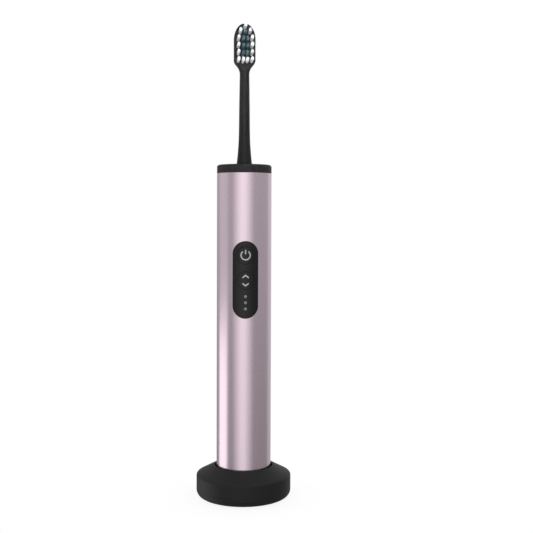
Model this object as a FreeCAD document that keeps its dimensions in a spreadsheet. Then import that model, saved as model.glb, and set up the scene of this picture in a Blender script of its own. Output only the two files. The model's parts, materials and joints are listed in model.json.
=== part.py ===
"""Sonic toothbrush standing on its inductive charging puck.

Frame: millimetres, +Z up, origin on the table under the centre of the puck.
The control panel faces -Y.  The brush's own axis is the Z axis, and the brush
stands in the well of the puck on its lower end.
"""
import FreeCAD, Part
import Sketcher
import math
import os

SIZES = [
    # charging puck
    ("puck_margin", 11.1, "puck's outside beyond the handle's outside"),
    ("puck_bottom", 0.4, "underside of the bottom cover above the table"),
    ("puck_corner", 3.8, "round of the puck's lower edge"),
    ("split_height", 5.2, "joint between bottom cover and top shell"),
    ("shoulder_height", 12.6, "where the sloping top would meet the wall"),
    ("shoulder_round", 1.2, "round between wall and sloping top"),
    ("rim_height", 17.6, "top of the rim round the well"),
    ("rim_width", 0.7, "flat rim between slope and well"),
    ("rim_round", 0.5, "round of the rim's inner edge"),
    ("puck_wall", 1.8, "wall of the puck's shells"),
    ("cover_floor", 1.5, "floor of the bottom cover"),
    ("well_floor", 9.3, "height of the well's floor"),
    ("well_floor_wall", 1.4, "thickness of the well's floor"),
    ("well_gap", 0.9, "radial gap between handle and well"),
    ("peg_radius", 4.0, "charging peg"),
    ("peg_length", 9.5, "peg above the well's floor"),
    ("peg_wall", 0.95, "wall of the hollow peg"),
    ("peg_round", 0.9, "round of the peg's top"),
    ("peg_gap", 0.35, "radial gap between peg and socket"),
    ("foot_margin", 0.5, "foot ring inside the round of the lower edge"),
    ("foot_width", 6.2, "width of the foot ring"),
    ("foot_thick", 1.2, "thickness of the foot ring"),
    ("cover_lip", 1.0, "height of the cover's locating lip"),
    ("screw_radius", 1.0, "shank radius of the puck screws"),
    ("screw_length", 8.0, "overall length of the puck screws"),
    ("screw_head", 1.9, "head radius of the puck screws"),
    ("screw_head_high", 1.3, "head height of the puck screws"),
    ("boss_radius", 2.3, "screw boss in the top shell"),
    ("boss_merge", 0.8, "overlap of the bosses with the well's wall"),
    ("pillar_radius", 3.2, "screw pillar in the bottom cover"),
    ("board_height", 5.0, "underside of the charger's board"),
    ("board_thick", 1.0, "thickness of both circuit boards"),
    ("board_margin", 1.9, "gap between the charger's board and the wall"),
    ("board_clear", 0.9, "gap between the charger's board and the bobbin"),
    ("core_gap", 0.15, "radial gap of the ferrite rod in the peg"),
    ("bobbin_flange", 10.4, "flange radius of the sending bobbin"),
    ("bobbin_wall", 0.8, "wall of both bobbins"),
    ("usb_width", 8.94, "outside width of the inlet socket"),
    ("usb_high", 3.26, "outside height of the inlet socket"),
    ("usb_depth", 7.3, "length of the inlet socket"),
    ("usb_shell", 0.3, "sheet thickness of the inlet socket"),
    ("usb_recess", 0.9, "socket mouth behind the puck's wall"),
    ("usb_gap", 0.15, "gap round the inlet socket"),
    # handle
    ("handle_radius", 15.0, "outside radius of the barrel"),
    ("barrel_wall", 0.8, "wall of the aluminium barrel"),
    ("handle_length", 174.05, "handle from lower end to cap top"),
    ("cap_height", 4.6, "visible height of the top cap"),
    ("cap_round", 1.3, "round of the cap's top edge"),
    ("cap_skirt", 6.8, "cap skirt inside the barrel"),
    ("hub_radius", 5.0, "round recess that takes the brush head's foot"),
    ("hub_depth", 3.2, "depth of that recess"),
    ("seal_radius", 3.3, "shaft seal's outside radius"),
    ("seal_high", 2.4, "height of the shaft seal"),
    ("plug_gap", 0.05, "radial gap of both caps in the barrel"),
    ("groove_depth", 1.15, "depth of both O-ring grooves"),
    ("groove_width", 1.4, "width of both O-ring grooves"),
    ("rest_gap", 0.05, "air between handle and well floor"),
    ("tail_rim", 2.6, "visible height of the end cap"),
    ("tail_plug", 8.5, "end cap plug inside the barrel"),
    ("tail_wall", 1.5, "floor of the end cap"),
    ("plug_wall", 0.75, "wall of the caps behind their O-ring grooves"),
    ("socket_wall", 1.0, "wall of the socket for the charging peg"),
    ("socket_head", 1.3, "air above the charging peg in its socket"),
    ("coil_room", 3.4, "receiving bobbin inside the barrel's bore"),
    ("coil_inset", 0.5, "windings inside the edge of their bobbin"),
    ("frame_gap", 0.3, "radial gap between chassis and barrel"),
    ("frame_wall", 1.2, "wall of the chassis"),
    ("frame_flat", 6.1, "flat that carries the board behind the handle's outside"),
    ("frame_lift", 1.5, "chassis above the end cap's plug"),
    ("deck_thick", 2.0, "thickness of the chassis decks"),
    ("deck_hole", 4.0, "hole in the chassis decks"),
    ("board_ledge", 0.65, "overlap of the main board on the chassis"),
    ("battery_radius", 7.0, "battery cell"),
    ("battery_length", 50.0, "battery cell"),
    ("battery_lift", 12.0, "battery above the end cap's plug"),
    ("pad_thick", 1.2, "foam pads at the battery's ends"),
    ("motor_gap", 0.4, "gap between the motor can and the main board"),
    ("motor_length", 35.0, "length of the motor can"),
    ("motor_drop", 8.0, "motor top below the barrel's top"),
    ("can_wall", 0.5, "sheet thickness of the motor can"),
    ("rotor_radius", 4.6, "rotor with its magnets"),
    ("magnet_thick", 1.5, "thickness of the rotor's magnets"),
    ("yoke_thick", 0.9, "thickness of the stator's ring"),
    ("pole_width", 5.0, "width of the stator's poles"),
    ("coil_height", 1.3, "stator windings beyond the iron"),
    ("stator_inset", 7.5, "stator iron inside the motor's ends"),
    ("damper_high", 4.0, "height of the motor's damping rings"),
    ("plate_metal", 1.8, "thickness of the motor's end plates"),
    ("air_gap", 0.4, "gap between rotor and stator poles"),
    ("shaft_radius", 1.6, "drive shaft"),
    ("shaft_reach", 20.0, "shaft above the cap"),
    ("shaft_flat", 0.5, "depth of the flat on the shaft's tip"),
    ("flat_length", 12.0, "length of that flat"),
    ("running_gap", 0.03, "radial gap of the shaft in its bearings"),
    ("bearing_radius", 3.4, "outside radius of the bearings"),
    ("bearing_length", 3.0, "length of the bearings"),
    ("main_board_tail", 28.4, "main board below the panel"),
    ("main_board_head", 2.2, "main board above the panel"),
    # control panel
    ("panel_width", 13.6, "width of the control panel"),
    ("panel_drop", 37.0, "upper end of the panel below the barrel's top"),
    ("panel_length", 41.4, "length of the panel"),
    ("panel_thick", 2.6, "thickness of the panel"),
    ("panel_proud", 0.05, "panel surface above the barrel"),
    ("panel_gap", 0.1, "gap round the panel"),
    ("panel_flange", 1.3, "flange of the panel inside the barrel"),
    ("gasket_thick", 0.5, "gasket between that flange and the barrel"),
    ("button_radius", 4.7, "both buttons"),
    ("button_gap", 0.12, "gap round the buttons"),
    ("button_flange", 0.7, "thickness of the flange behind the buttons"),
    ("button_step", 0.6, "width of the flange behind the buttons"),
    ("button_depth", 2.15, "button flange behind the panel surface"),
    ("button_stem", 1.3, "stem radius of the buttons"),
    ("power_drop", 7.5, "power button below the panel's upper end"),
    ("mode_drop", 21.0, "mode button below the panel's upper end"),
    ("button_travel", 0.35, "travel of the buttons"),
    ("switch_side", 4.5, "side of the switch bodies"),
    ("switch_high", 1.2, "height of the switch bodies"),
    ("plunger_radius", 0.9, "switch plungers"),
    ("plunger_out", 0.5, "plunger above the switch body"),
    ("dot_radius", 0.85, "light guides"),
    ("dot_drop", 29.6, "first light guide below the panel's upper end"),
    ("dot_pitch", 3.35, "spacing of the light guides"),
    # brush head
    ("head_length", 80.0, "brush head from foot to tip"),
    ("head_lift", 0.2, "foot above the floor of the cap's recess"),
    ("foot_edge", 0.3, "bevel of the foot"),
    ("foot_bore", 2.4, "bore in the neck"),
    ("bore_depth", 24.0, "depth of that bore"),
    ("neck_foot", 4.65, "neck radius at the foot"),
    ("neck_waist", 3.14, "neck radius above the flare"),
    ("neck_top", 2.62, "neck radius under the head plate"),
    ("flare_length", 17.0, "length of the flared foot"),
    ("plate_width", 11.8, "width of the head plate"),
    ("plate_length", 22.0, "head plate from shoulder to tip"),
    ("plate_thick", 4.4, "thickness of the head plate"),
    ("plate_arch", 8.8, "length of the rounded tip"),
    ("shoulder_drop", 5.6, "length of the taper from plate to neck"),
    ("tuft_width", 1.65, "tuft across the head"),
    ("tuft_long", 2.15, "tuft along the head"),
    ("tuft_reach", 10.0, "bristles above the plate"),
    ("hole_depth", 3.2, "tuft holes"),
    ("tuft_gap", 0.05, "gap round a tuft in its hole"),
    ("row_pitch", 3.85, "spacing of the tuft rows"),
    ("tip_to_tuft", 2.6, "first tuft below the tip"),
    ("outer_column", 3.62, "outer tuft columns from the middle"),
    ("inner_column", 1.12, "inner tuft columns from the middle"),
    ("inner_sag", 0.6, "inner tufts below the outer ones"),
    ("staple_high", 1.3, "height of the tuft anchors"),
    ("staple_thick", 0.3, "thickness of the tuft anchors"),
    ("insert_edge", 0.5, "insert above the foot"),
    ("insert_gap", 0.05, "gap between the shaft's flat and the insert"),
    ("clip_rise", 5.0, "spring clip above the foot"),
    ("clip_high", 2.0, "height of the spring clip"),
    ("clip_thick", 0.32, "thickness of the spring clip"),
    ("clip_depth", 0.4, "depth of the clip's groove"),
    ("lead_radius", 0.45, "insulated leads in the handle"),
    ("touch_gap", 0.02, "air between pieces that touch"),
]

NEAR = 1e-4  # mm, for finding an edge by its place

doc = FreeCAD.newDocument("electric_toothbrush")
sheet = doc.addObject("Spreadsheet::Sheet", "Sizes")


class Formula:
    """A size worked out from the sheet: its expression and its present value."""

    def __init__(self, text, value):
        self.text = text
        self.value = value

    def join(self, sign, other, turned=False):
        other = formula(other)
        first, second = (other, self) if turned else (self, other)
        results = {
            "+": lambda a, b: a + b,
            "-": lambda a, b: a - b,
            "*": lambda a, b: a * b,
            "/": lambda a, b: a / b,
        }
        value = results[sign](first.value, second.value)
        return Formula(f"({first.text} {sign} {second.text})", value)

    def __add__(self, other):
        return self.join("+", other)

    def __radd__(self, other):
        return self.join("+", other, turned=True)

    def __sub__(self, other):
        return self.join("-", other)

    def __rsub__(self, other):
        return self.join("-", other, turned=True)

    def __mul__(self, other):
        return self.join("*", other)

    def __rmul__(self, other):
        return self.join("*", other, turned=True)

    def __truediv__(self, other):
        return self.join("/", other)

    def __neg__(self):
        return Formula(f"(0 - {self.text})", -self.value)


def formula(size):
    return size if isinstance(size, Formula) else Formula(repr(float(size)), float(size))


class SizeTable:
    """Holds each size of the sheet as a formula under its own name."""


size = SizeTable()
for row, (alias, value, note) in enumerate(SIZES, 1):
    sheet.set(f"A{row}", alias)
    sheet.set(f"B{row}", repr(value))
    sheet.set(f"C{row}", note)
    sheet.setAlias(f"B{row}", alias)
    setattr(size, alias, Formula(f"Sizes.{alias}", value))
doc.recompute()


def square_root(amount):
    return Formula(f"sqrt({amount.text})", math.sqrt(amount.value))


# Heights and radii that several pieces share
puck_radius = size.handle_radius + size.puck_margin
puck_inside = puck_radius - size.puck_wall
cover_top = size.puck_bottom + size.cover_floor
well_radius = size.handle_radius + size.well_gap
well_outer = well_radius + size.puck_wall
slope_fall = size.rim_height - size.shoulder_height
slope_run = puck_radius - well_radius - size.rim_width
screw_circle = well_outer + size.boss_radius - size.boss_merge
foot_outer = puck_radius - size.puck_corner - size.foot_margin
foot_inner = foot_outer - size.foot_width
board_outer = puck_inside - size.board_margin
board_inner = size.bobbin_flange + size.board_clear
board_top = size.board_height + size.board_thick
peg_top = size.well_floor + size.peg_length
peg_bore = size.peg_radius - size.peg_wall
core_radius = peg_bore - size.core_gap
well_under = size.well_floor - size.well_floor_wall
handle_low = size.well_floor + size.rest_gap
cap_top = handle_low + size.handle_length
barrel_top = cap_top - size.cap_height
barrel_low = handle_low + size.tail_rim
barrel_bore = size.handle_radius - size.barrel_wall
socket_radius = size.peg_radius + size.peg_gap
socket_outside = socket_radius + size.socket_wall
plug_top = barrel_low + size.tail_plug
frame_outer = barrel_bore - size.frame_gap
frame_bore = frame_outer - size.frame_wall
plug_radius = barrel_bore - size.plug_gap
groove_root = plug_radius - size.groove_depth
hub_floor = cap_top - size.hub_depth
seal_low = hub_floor - size.seal_high
motor_high = barrel_top - size.motor_drop
motor_low = motor_high - size.motor_length
battery_low = plug_top + size.battery_lift
battery_high = battery_low + size.battery_length
board_back = size.handle_radius - size.frame_flat
board_front = board_back + size.board_thick
board_half = square_root(frame_bore * frame_bore - board_back * board_back) + size.board_ledge
motor_radius = board_back - size.motor_gap
panel_high = barrel_top - size.panel_drop
panel_low = panel_high - size.panel_length
main_board_low = panel_low - size.main_board_tail
main_board_high = panel_high + size.main_board_head
power_height = panel_high - size.power_drop
mode_height = panel_high - size.mode_drop
dot_height = panel_high - size.dot_drop
panel_face = size.handle_radius + size.panel_proud
panel_back = panel_face - size.panel_thick
button_shelf = panel_face - size.button_depth
button_back = button_shelf - size.button_flange
switch_front = board_front + size.switch_high
plunger_tip = switch_front + size.plunger_out
head_foot = hub_floor + size.head_lift
head_tip = head_foot + size.head_length
plate_low = head_tip - size.plate_length
plate_face = size.plate_thick / 2
shaft_tip = cap_top + size.shaft_reach
bearing_bore = size.shaft_radius + size.running_gap


def vector(x=0.0, y=0.0, z=0.0):
    """A point from numbers or formulas."""
    return FreeCAD.Vector(*(formula(part).value for part in (x, y, z)))


def bind(thing, prop, amount):
    """Sets a property and ties it to its expression."""
    amount = formula(amount)
    thing.setExpression(prop, amount.text)


# ---- sketches ---------------------------------------------------------------

def new_body(label):
    body = doc.addObject("PartDesign::Body", label)
    body.Label = label
    return body


def new_sketch(body, name, role, offset=0.0):
    """A sketch on one of the body's own planes, moved along the plane's normal."""
    plane = next(o for o in body.Origin.OriginFeatures if o.Role == role)
    sketch = body.newObject("Sketcher::SketchObject", name)
    sketch.AttachmentSupport = [(plane, "")]
    sketch.MapMode = "FlatFace"
    bind(sketch, "AttachmentOffset.Base.z", offset)
    return sketch


def place_point(sketch, shape, point, x, y):
    """Fixes one point of a sketch at (x, y), each tied to its expression."""
    axes = (("DistanceX", -2, formula(x)), ("DistanceY", -1, formula(y)))
    for kind, axis, amount in axes:
        if amount.text in ("0.0", "-0.0"):
            sketch.addConstraint(Sketcher.Constraint("PointOnObject", shape, point, axis))
            continue
        number = sketch.addConstraint(
            Sketcher.Constraint(kind, -1, 1, shape, point, amount.value)
        )
        sketch.setExpression(f"Constraints[{number}]", amount.text)


def fix_radius(sketch, shape, radius):
    number = sketch.addConstraint(Sketcher.Constraint("Radius", shape, radius.value))
    sketch.setExpression(f"Constraints[{number}]", radius.text)


def draw_outline(sketch, points):
    """A closed outline of straight lines through points, each tied to the sheet."""
    places = [vector(x, y) for x, y in points]
    first = sketch.GeometryCount
    count = len(places)
    for here in range(count):
        line = Part.LineSegment(places[here], places[(here + 1) % count])
        sketch.addGeometry(line, False)
    for here in range(count):
        following = first + (here + 1) % count
        sketch.addConstraint(
            Sketcher.Constraint("Coincident", first + here, 2, following, 1)
        )
    for here, (x, y) in enumerate(points):
        place_point(sketch, first + here, 1, x, y)


def draw_circle(sketch, x, y, radius):
    radius = formula(radius)
    circle = Part.Circle(vector(x, y), FreeCAD.Vector(0, 0, 1), radius.value)
    number = sketch.addGeometry(circle, False)
    place_point(sketch, number, 3, x, y)
    fix_radius(sketch, number, radius)


def draw_slot(sketch, start, end, radius):
    """A slot with round ends, from centre start to centre end."""
    radius = formula(radius)
    a, b = vector(*start), vector(*end)
    along = (b - a).normalize()
    side = FreeCAD.Vector(-along.y, along.x, 0) * radius.value
    up = FreeCAD.Vector(0, 0, 1)
    turn = math.atan2(along.y, along.x)
    half = math.pi / 2
    near = Part.ArcOfCircle(Part.Circle(a, up, radius.value), turn + half, turn + 3 * half)
    far = Part.ArcOfCircle(Part.Circle(b, up, radius.value), turn - half, turn + half)
    first = sketch.addGeometry(near, False)
    sketch.addGeometry(Part.LineSegment(a - side, b - side), False)
    sketch.addGeometry(far, False)
    sketch.addGeometry(Part.LineSegment(b + side, a + side), False)
    for here in range(4):
        following = first + (here + 1) % 4
        sketch.addConstraint(Sketcher.Constraint("Tangent", first + here, 2, following, 1))
    place_point(sketch, first, 3, *start)
    place_point(sketch, first + 2, 3, *end)
    fix_radius(sketch, first, radius)


# ---- features ---------------------------------------------------------------

def revolve(body, points, name="profile"):
    """Turns an outline of (radius, height) points about the Z axis."""
    sketch = new_sketch(body, name, "XZ_Plane")
    draw_outline(sketch, points)
    turned = body.newObject("PartDesign::Revolution", name + "_turned")
    turned.Profile = sketch
    turned.ReferenceAxis = (sketch, ["V_Axis"])
    turned.Angle = 360
    doc.recompute()
    return turned


def pad(body, sketch, length, backwards=False):
    """Adds material along the sketch's normal, or against it."""
    feature = body.newObject("PartDesign::Pad", sketch.Name + "_pad")
    feature.Profile = sketch
    feature.Reversed = backwards
    bind(feature, "Length", length)
    doc.recompute()
    return feature


def pocket(body, sketch, length, forwards=False):
    """Cuts against the sketch's normal, or along it, and makes sure that it cut."""
    before = body.Tip.Shape.Volume
    feature = body.newObject("PartDesign::Pocket", sketch.Name + "_cut")
    feature.Profile = sketch
    feature.Reversed = forwards
    bind(feature, "Length", length)
    doc.recompute()
    if feature.Shape.Volume >= before - NEAR:
        raise RuntimeError(f"{feature.Label} cuts nothing")
    return feature


def ring_edges(shape, radius, height):
    """Names of the circular edges about Z at this radius and height."""
    names = []
    for number, edge in enumerate(shape.Edges, 1):
        curve = edge.Curve
        if not isinstance(curve, Part.Circle):
            continue
        off_axis = math.hypot(curve.Center.x, curve.Center.y)
        wrong = max(off_axis, abs(curve.Radius - radius), abs(curve.Center.z - height))
        if wrong < NEAR:
            names.append(f"Edge{number}")
    return names


def round_rings(body, rings, amount, kind="PartDesign::Fillet"):
    """Rounds or bevels the edges that run round the axis at (radius, height)."""
    base = body.Tip
    names = []
    for radius, height in rings:
        found = ring_edges(base.Shape, formula(radius).value, formula(height).value)
        if not found:
            raise RuntimeError(f"{body.Label} has no edge at {radius.text}, {height.text}")
        names += found
    feature = body.newObject(kind, body.Name + "_edge")
    feature.Base = (base, names)
    bind(feature, "Radius" if kind.endswith("Fillet") else "Size", amount)
    doc.recompute()
    return feature


def block(label, low, high):
    """A box between two corners, each given as three formulas or numbers."""
    box = doc.addObject("Part::Box", label)
    box.Label = label
    names = ("x", "y", "z")
    sides = ("Length", "Width", "Height")
    for axis, side, a, b in zip(names, sides, low, high):
        bind(box, side, formula(b) - a)
        bind(box, f"Placement.Base.{axis}", a)
    return box


def rod(label, radius, low, high, x=0.0, y=0.0):
    """A cylinder along Z."""
    cylinder = doc.addObject("Part::Cylinder", label)
    cylinder.Label = label
    bind(cylinder, "Radius", radius)
    bind(cylinder, "Height", formula(high) - low)
    bind(cylinder, "Placement.Base.x", x)
    bind(cylinder, "Placement.Base.y", y)
    bind(cylinder, "Placement.Base.z", low)
    return cylinder


def front_rod(label, radius, back, front, z, x=0.0):
    """A cylinder along Y, from back to front, both measured forwards from the axis."""
    cylinder = doc.addObject("Part::Cylinder", label)
    cylinder.Label = label
    turn = FreeCAD.Rotation(FreeCAD.Vector(1, 0, 0), 90)
    cylinder.Placement = FreeCAD.Placement(FreeCAD.Vector(), turn)
    bind(cylinder, "Radius", radius)
    bind(cylinder, "Height", formula(front) - back)
    bind(cylinder, "Placement.Base.x", x)
    bind(cylinder, "Placement.Base.y", -formula(back))
    bind(cylinder, "Placement.Base.z", z)
    return cylinder


def cut(label, base, tool):
    result = doc.addObject("Part::Cut", label)
    result.Label = label
    result.Base = base
    result.Tool = tool
    return result


def fuse(label, *pieces):
    result = doc.addObject("Part::MultiFuse", label)
    result.Label = label
    result.Shapes = list(pieces)
    result.Refine = True
    return result


def common(label, *pieces):
    result = doc.addObject("Part::MultiCommon", label)
    result.Label = label
    result.Shapes = list(pieces)
    return result


def finished(label, shape):
    """A piece whose shape is made with Part's own functions."""
    feature = doc.addObject("Part::Feature", label)
    feature.Label = label
    feature.Shape = shape
    return feature


def group(label, shapes):
    return finished(label, Part.makeCompound(shapes))


def thirds():
    """The three angles of the puck's screws; the first points to the panel side."""
    return [math.radians(-90 + 120 * number) for number in range(3)]


# ---- charging puck ----------------------------------------------------------

inlet_middle = board_top + size.usb_high / 2 + size.touch_gap
inlet_mouth = puck_radius - size.usb_recess


def slope_at(radius, below=0.0):
    """Height of the sloping top at a radius, or that far under it, measured upright."""
    inward = puck_radius - radius
    return size.shoulder_height + slope_fall * inward / slope_run - below


def make_charger_top_shell():
    body = new_body("charger_top_shell")
    wall = puck_inside
    rim_edge = well_radius + size.rim_width
    roof = size.puck_wall * 1.2
    revolve(body, [
        (puck_radius, size.split_height),
        (puck_radius, size.shoulder_height),
        (rim_edge, size.rim_height),
        (well_radius, size.rim_height),
        (well_radius, size.well_floor),
        (size.peg_radius, size.well_floor),
        (size.peg_radius, peg_top),
        (0, peg_top),
        (0, peg_top - size.peg_wall),
        (peg_bore, peg_top - size.peg_wall),
        (peg_bore, well_under),
        (well_outer, well_under),
        (well_outer, slope_at(well_outer, roof)),
        (wall, slope_at(wall, roof)),
        (wall, size.split_height),
    ])
    add_shell_bosses(body)
    cut_inlet(body)
    round_rings(body, [(puck_radius, size.shoulder_height)], size.shoulder_round)
    round_rings(body, [(well_radius, size.rim_height), (rim_edge, size.rim_height)],
                size.rim_round)
    round_rings(body, [(size.peg_radius, peg_top)], size.peg_round)
    round_rings(body, [(size.peg_radius, size.well_floor), (well_radius, size.well_floor)],
                size.rim_round)
    return body


def on_circle(sketch, radius, angles, hole):
    """Circles on a circle about Z."""
    for angle in angles:
        draw_circle(sketch, radius * math.cos(angle), radius * math.sin(angle), hole)


def add_shell_bosses(body):
    """Bosses on the well's wall that reach down to the board, with screw holes."""
    low = size.board_height + size.touch_gap
    hole_top = size.foot_thick + size.screw_length + 1.0
    sketch = new_sketch(body, "shell_bosses", "XY_Plane", low)
    on_circle(sketch, screw_circle, thirds(), size.boss_radius)
    pad(body, sketch, hole_top + 0.9 - low)
    holes = new_sketch(body, "shell_pilots", "XY_Plane", low)
    on_circle(holes, screw_circle, thirds(), size.screw_radius + size.touch_gap)
    pocket(body, holes, hole_top - low, forwards=True)


def cut_inlet(body):
    """The slot in the back wall in front of the inlet socket."""
    radius = size.usb_high / 2 + size.usb_gap
    reach = size.usb_width / 2 + size.usb_gap - radius
    sketch = new_sketch(body, "inlet_slot", "XZ_Plane", -puck_radius - 1)
    draw_slot(sketch, (-reach, inlet_middle), (reach, inlet_middle), radius)
    pocket(body, sketch, size.puck_wall * 2.2, forwards=True)


def make_charger_bottom_cover():
    body = new_body("charger_bottom_cover")
    lip_outer = puck_inside - 0.1
    lip_inner = lip_outer - 1.2
    groove_in = foot_inner - 0.1
    groove_out = foot_outer + 0.1
    groove_top = size.foot_thick
    revolve(body, [
        (0, size.puck_bottom),
        (groove_in, size.puck_bottom),
        (groove_in, groove_top),
        (groove_out, groove_top),
        (groove_out, size.puck_bottom),
        (puck_radius, size.puck_bottom),
        (puck_radius, size.split_height),
        (lip_outer, size.split_height),
        (lip_outer, size.split_height + size.cover_lip),
        (lip_inner, size.split_height + size.cover_lip),
        (lip_inner, cover_top),
        (0, cover_top),
    ])
    pillars = new_sketch(body, "pillars", "XY_Plane", size.foot_thick)
    on_circle(pillars, screw_circle, thirds(), size.pillar_radius)
    pad(body, pillars, size.board_height - size.touch_gap - size.foot_thick)
    heads = new_sketch(body, "head_recesses", "XY_Plane", size.foot_thick)
    on_circle(heads, screw_circle, thirds(), size.screw_head + 0.15)
    pocket(body, heads, size.screw_head_high + 0.1, forwards=True)
    holes = new_sketch(body, "screw_holes", "XY_Plane", size.foot_thick)
    on_circle(holes, screw_circle, thirds(), size.screw_radius + 0.15)
    pocket(body, holes, size.board_height, forwards=True)
    notch = new_sketch(body, "inlet_notch", "XZ_Plane", -puck_radius)
    half = size.usb_width / 2 + size.usb_gap
    high = size.split_height + size.cover_lip + 1
    draw_outline(notch, [
        (-half, size.split_height),
        (half, size.split_height),
        (half, high),
        (-half, high),
    ])
    pocket(body, notch, size.puck_wall * 2.2, forwards=True)
    round_rings(body, [(puck_radius, size.puck_bottom)], size.puck_corner)
    return body


def make_foot_ring():
    body = new_body("foot_ring")
    revolve(body, [
        (foot_inner, 0),
        (foot_outer, 0),
        (foot_outer, size.foot_thick),
        (foot_inner, size.foot_thick),
    ])
    round_rings(body, [(foot_inner, formula(0)), (foot_outer, formula(0))],
                size.puck_bottom / 2)
    return body


def make_charger_screws():
    """Three self-tapping screws with crossed recesses, heads under the foot ring."""
    radius = size.screw_radius.value
    length = size.screw_length.value
    head = size.screw_head.value
    high = size.screw_head_high.value
    low = (size.foot_thick + size.touch_gap).value
    shape = Part.makeCylinder(head, high)
    shape = shape.fuse(Part.makeCylinder(radius, length - 1.0))
    tip = Part.makeCone(radius, radius * 0.3, 1.0, FreeCAD.Vector(0, 0, length - 1.0))
    shape = shape.fuse(tip)
    arm = head * 0.6
    width = head * 0.2
    for long_side, short_side in ((arm, width), (width, arm)):
        corner = FreeCAD.Vector(-long_side, -short_side, -0.1)
        slot = Part.makeBox(2 * long_side, 2 * short_side, high * 0.6 + 0.1, corner)
        shape = shape.cut(slot)
    screws = []
    for angle in thirds():
        screw = shape.copy()
        x = screw_circle.value * math.cos(angle)
        y = screw_circle.value * math.sin(angle)
        screw.translate(FreeCAD.Vector(x, y, low))
        screws.append(screw)
    return group("charger_screws", screws)


def make_ferrite_core():
    return rod("ferrite_core", core_radius, cover_top + 0.1,
               peg_top - size.peg_wall - 0.2)


def bobbin_outline(inner, flange, low, high):
    """Outline of a bobbin: a sleeve between two flanges."""
    sleeve = inner + size.bobbin_wall
    return [
        (inner, low),
        (flange, low),
        (flange, low + size.bobbin_wall),
        (sleeve, low + size.bobbin_wall),
        (sleeve, high - size.bobbin_wall),
        (flange, high - size.bobbin_wall),
        (flange, high),
        (inner, high),
    ]


def winding(label, inner, outer, low, high):
    """A wound coil as a ring with rounded edges."""
    body = new_body(label)
    revolve(body, [(inner, low), (outer, low), (outer, high), (inner, high)])
    round_rings(body, [(outer, low), (outer, high)], size.bobbin_wall / 2)
    return body


send_coil = size.bobbin_flange - size.coil_inset
send_low = cover_top + 0.1
send_high = well_under - 0.1
take_low = handle_low + size.tail_wall + 0.1
take_high = plug_top - 1.0
take_flange = barrel_bore - size.coil_room
take_coil = take_flange - size.coil_inset


def make_tx_bobbin():
    body = new_body("tx_bobbin")
    revolve(body, bobbin_outline(core_radius + 0.1, size.bobbin_flange,
                                 send_low, send_high))
    return body


def make_tx_coil():
    inner = core_radius + 0.1 + size.bobbin_wall + size.touch_gap
    edge = size.bobbin_wall + size.touch_gap
    return winding("tx_coil", inner, send_coil, send_low + edge, send_high - edge)


def make_charger_board():
    """A ring of board with holes for the three bosses."""
    body = new_body("charger_board")
    sketch = new_sketch(body, "ring", "XY_Plane", size.board_height)
    draw_circle(sketch, 0, 0, board_outer)
    draw_circle(sketch, 0, 0, board_inner)
    pad(body, sketch, size.board_thick)
    holes = new_sketch(body, "boss_holes", "XY_Plane", size.board_height - 1)
    on_circle(holes, screw_circle, thirds(), size.boss_radius + 0.2)
    pocket(body, holes, size.board_thick + 2, forwards=True)
    return body


def make_charger_parts():
    """Chips and capacitors on the charger's board: (angle, outwards, size)."""
    top = board_top.value + size.touch_gap.value
    middle = (board_inner.value + board_outer.value) / 2
    placed = [
        (210, -0.8, (5.0, 4.0, 1.2)),
        (245, 0.7, (3.0, 1.6, 0.9)),
        (300, -0.3, (6.0, 5.0, 1.5)),
        (325, 1.7, (2.0, 1.3, 0.8)),
        (345, -0.8, (4.0, 3.0, 1.0)),
        (185, 0.7, (2.0, 1.3, 0.8)),
    ]
    shapes = []
    for angle, outwards, (long_side, wide, high) in placed:
        radius = middle + outwards
        chip = Part.makeBox(long_side, wide, high, FreeCAD.Vector(-long_side / 2, -wide / 2, 0))
        chip.rotate(FreeCAD.Vector(), FreeCAD.Vector(0, 0, 1), angle + 90)
        turn = math.radians(angle)
        chip.translate(FreeCAD.Vector(radius * math.cos(turn), radius * math.sin(turn), top))
        shapes.append(chip)
    radius = board_outer.value - 2.1
    for angle in (5, 175):
        turn = math.radians(angle)
        place = FreeCAD.Vector(radius * math.cos(turn), radius * math.sin(turn), top)
        shapes.append(Part.makeCylinder(1.8, 3.4, place))
    return group("charger_parts", shapes)


def make_inlet_shell():
    """The steel shell of the inlet socket, open to the back of the puck."""
    body = new_body("inlet_shell")
    radius = size.usb_high / 2
    reach = size.usb_width / 2 - radius
    left, right = (-reach, inlet_middle), (reach, inlet_middle)
    outside = new_sketch(body, "inlet_outside", "XZ_Plane", -inlet_mouth)
    draw_slot(outside, left, right, radius)
    pad(body, outside, size.usb_depth)
    inside = new_sketch(body, "inlet_inside", "XZ_Plane", -inlet_mouth - 1)
    draw_slot(inside, left, right, radius - size.usb_shell)
    pocket(body, inside, size.usb_depth + 1 - size.usb_shell, forwards=True)
    return body


def make_inlet_tongue():
    """The contact tongue and its base inside the inlet socket."""
    height = inlet_middle
    back = inlet_mouth - size.usb_depth + size.usb_shell
    base_front = back + 1.8
    tongue_front = inlet_mouth - 0.7
    half = size.usb_width / 2 - size.usb_high / 2
    thick = size.usb_high / 2 - size.usb_shell - 0.1
    base = block("tongue_base", (-half, back + size.touch_gap, height - thick),
                 (half, base_front, height + thick))
    blade = block("tongue_blade", (-half - 0.5, base_front - 0.2, height - 0.35),
                  (half + 0.5, tongue_front, height + 0.35))
    return fuse("inlet_tongue", base, blade)


# ---- handle -----------------------------------------------------------------

def panel_slot(body, name, grow, front):
    """A slot of the panel's outline, grown all round, on a plane in front of the axis."""
    inset = size.panel_width / 2
    sketch = new_sketch(body, name, "XZ_Plane", front)
    draw_slot(sketch, (0, panel_low + inset), (0, panel_high - inset), inset + grow)
    return sketch


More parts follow.
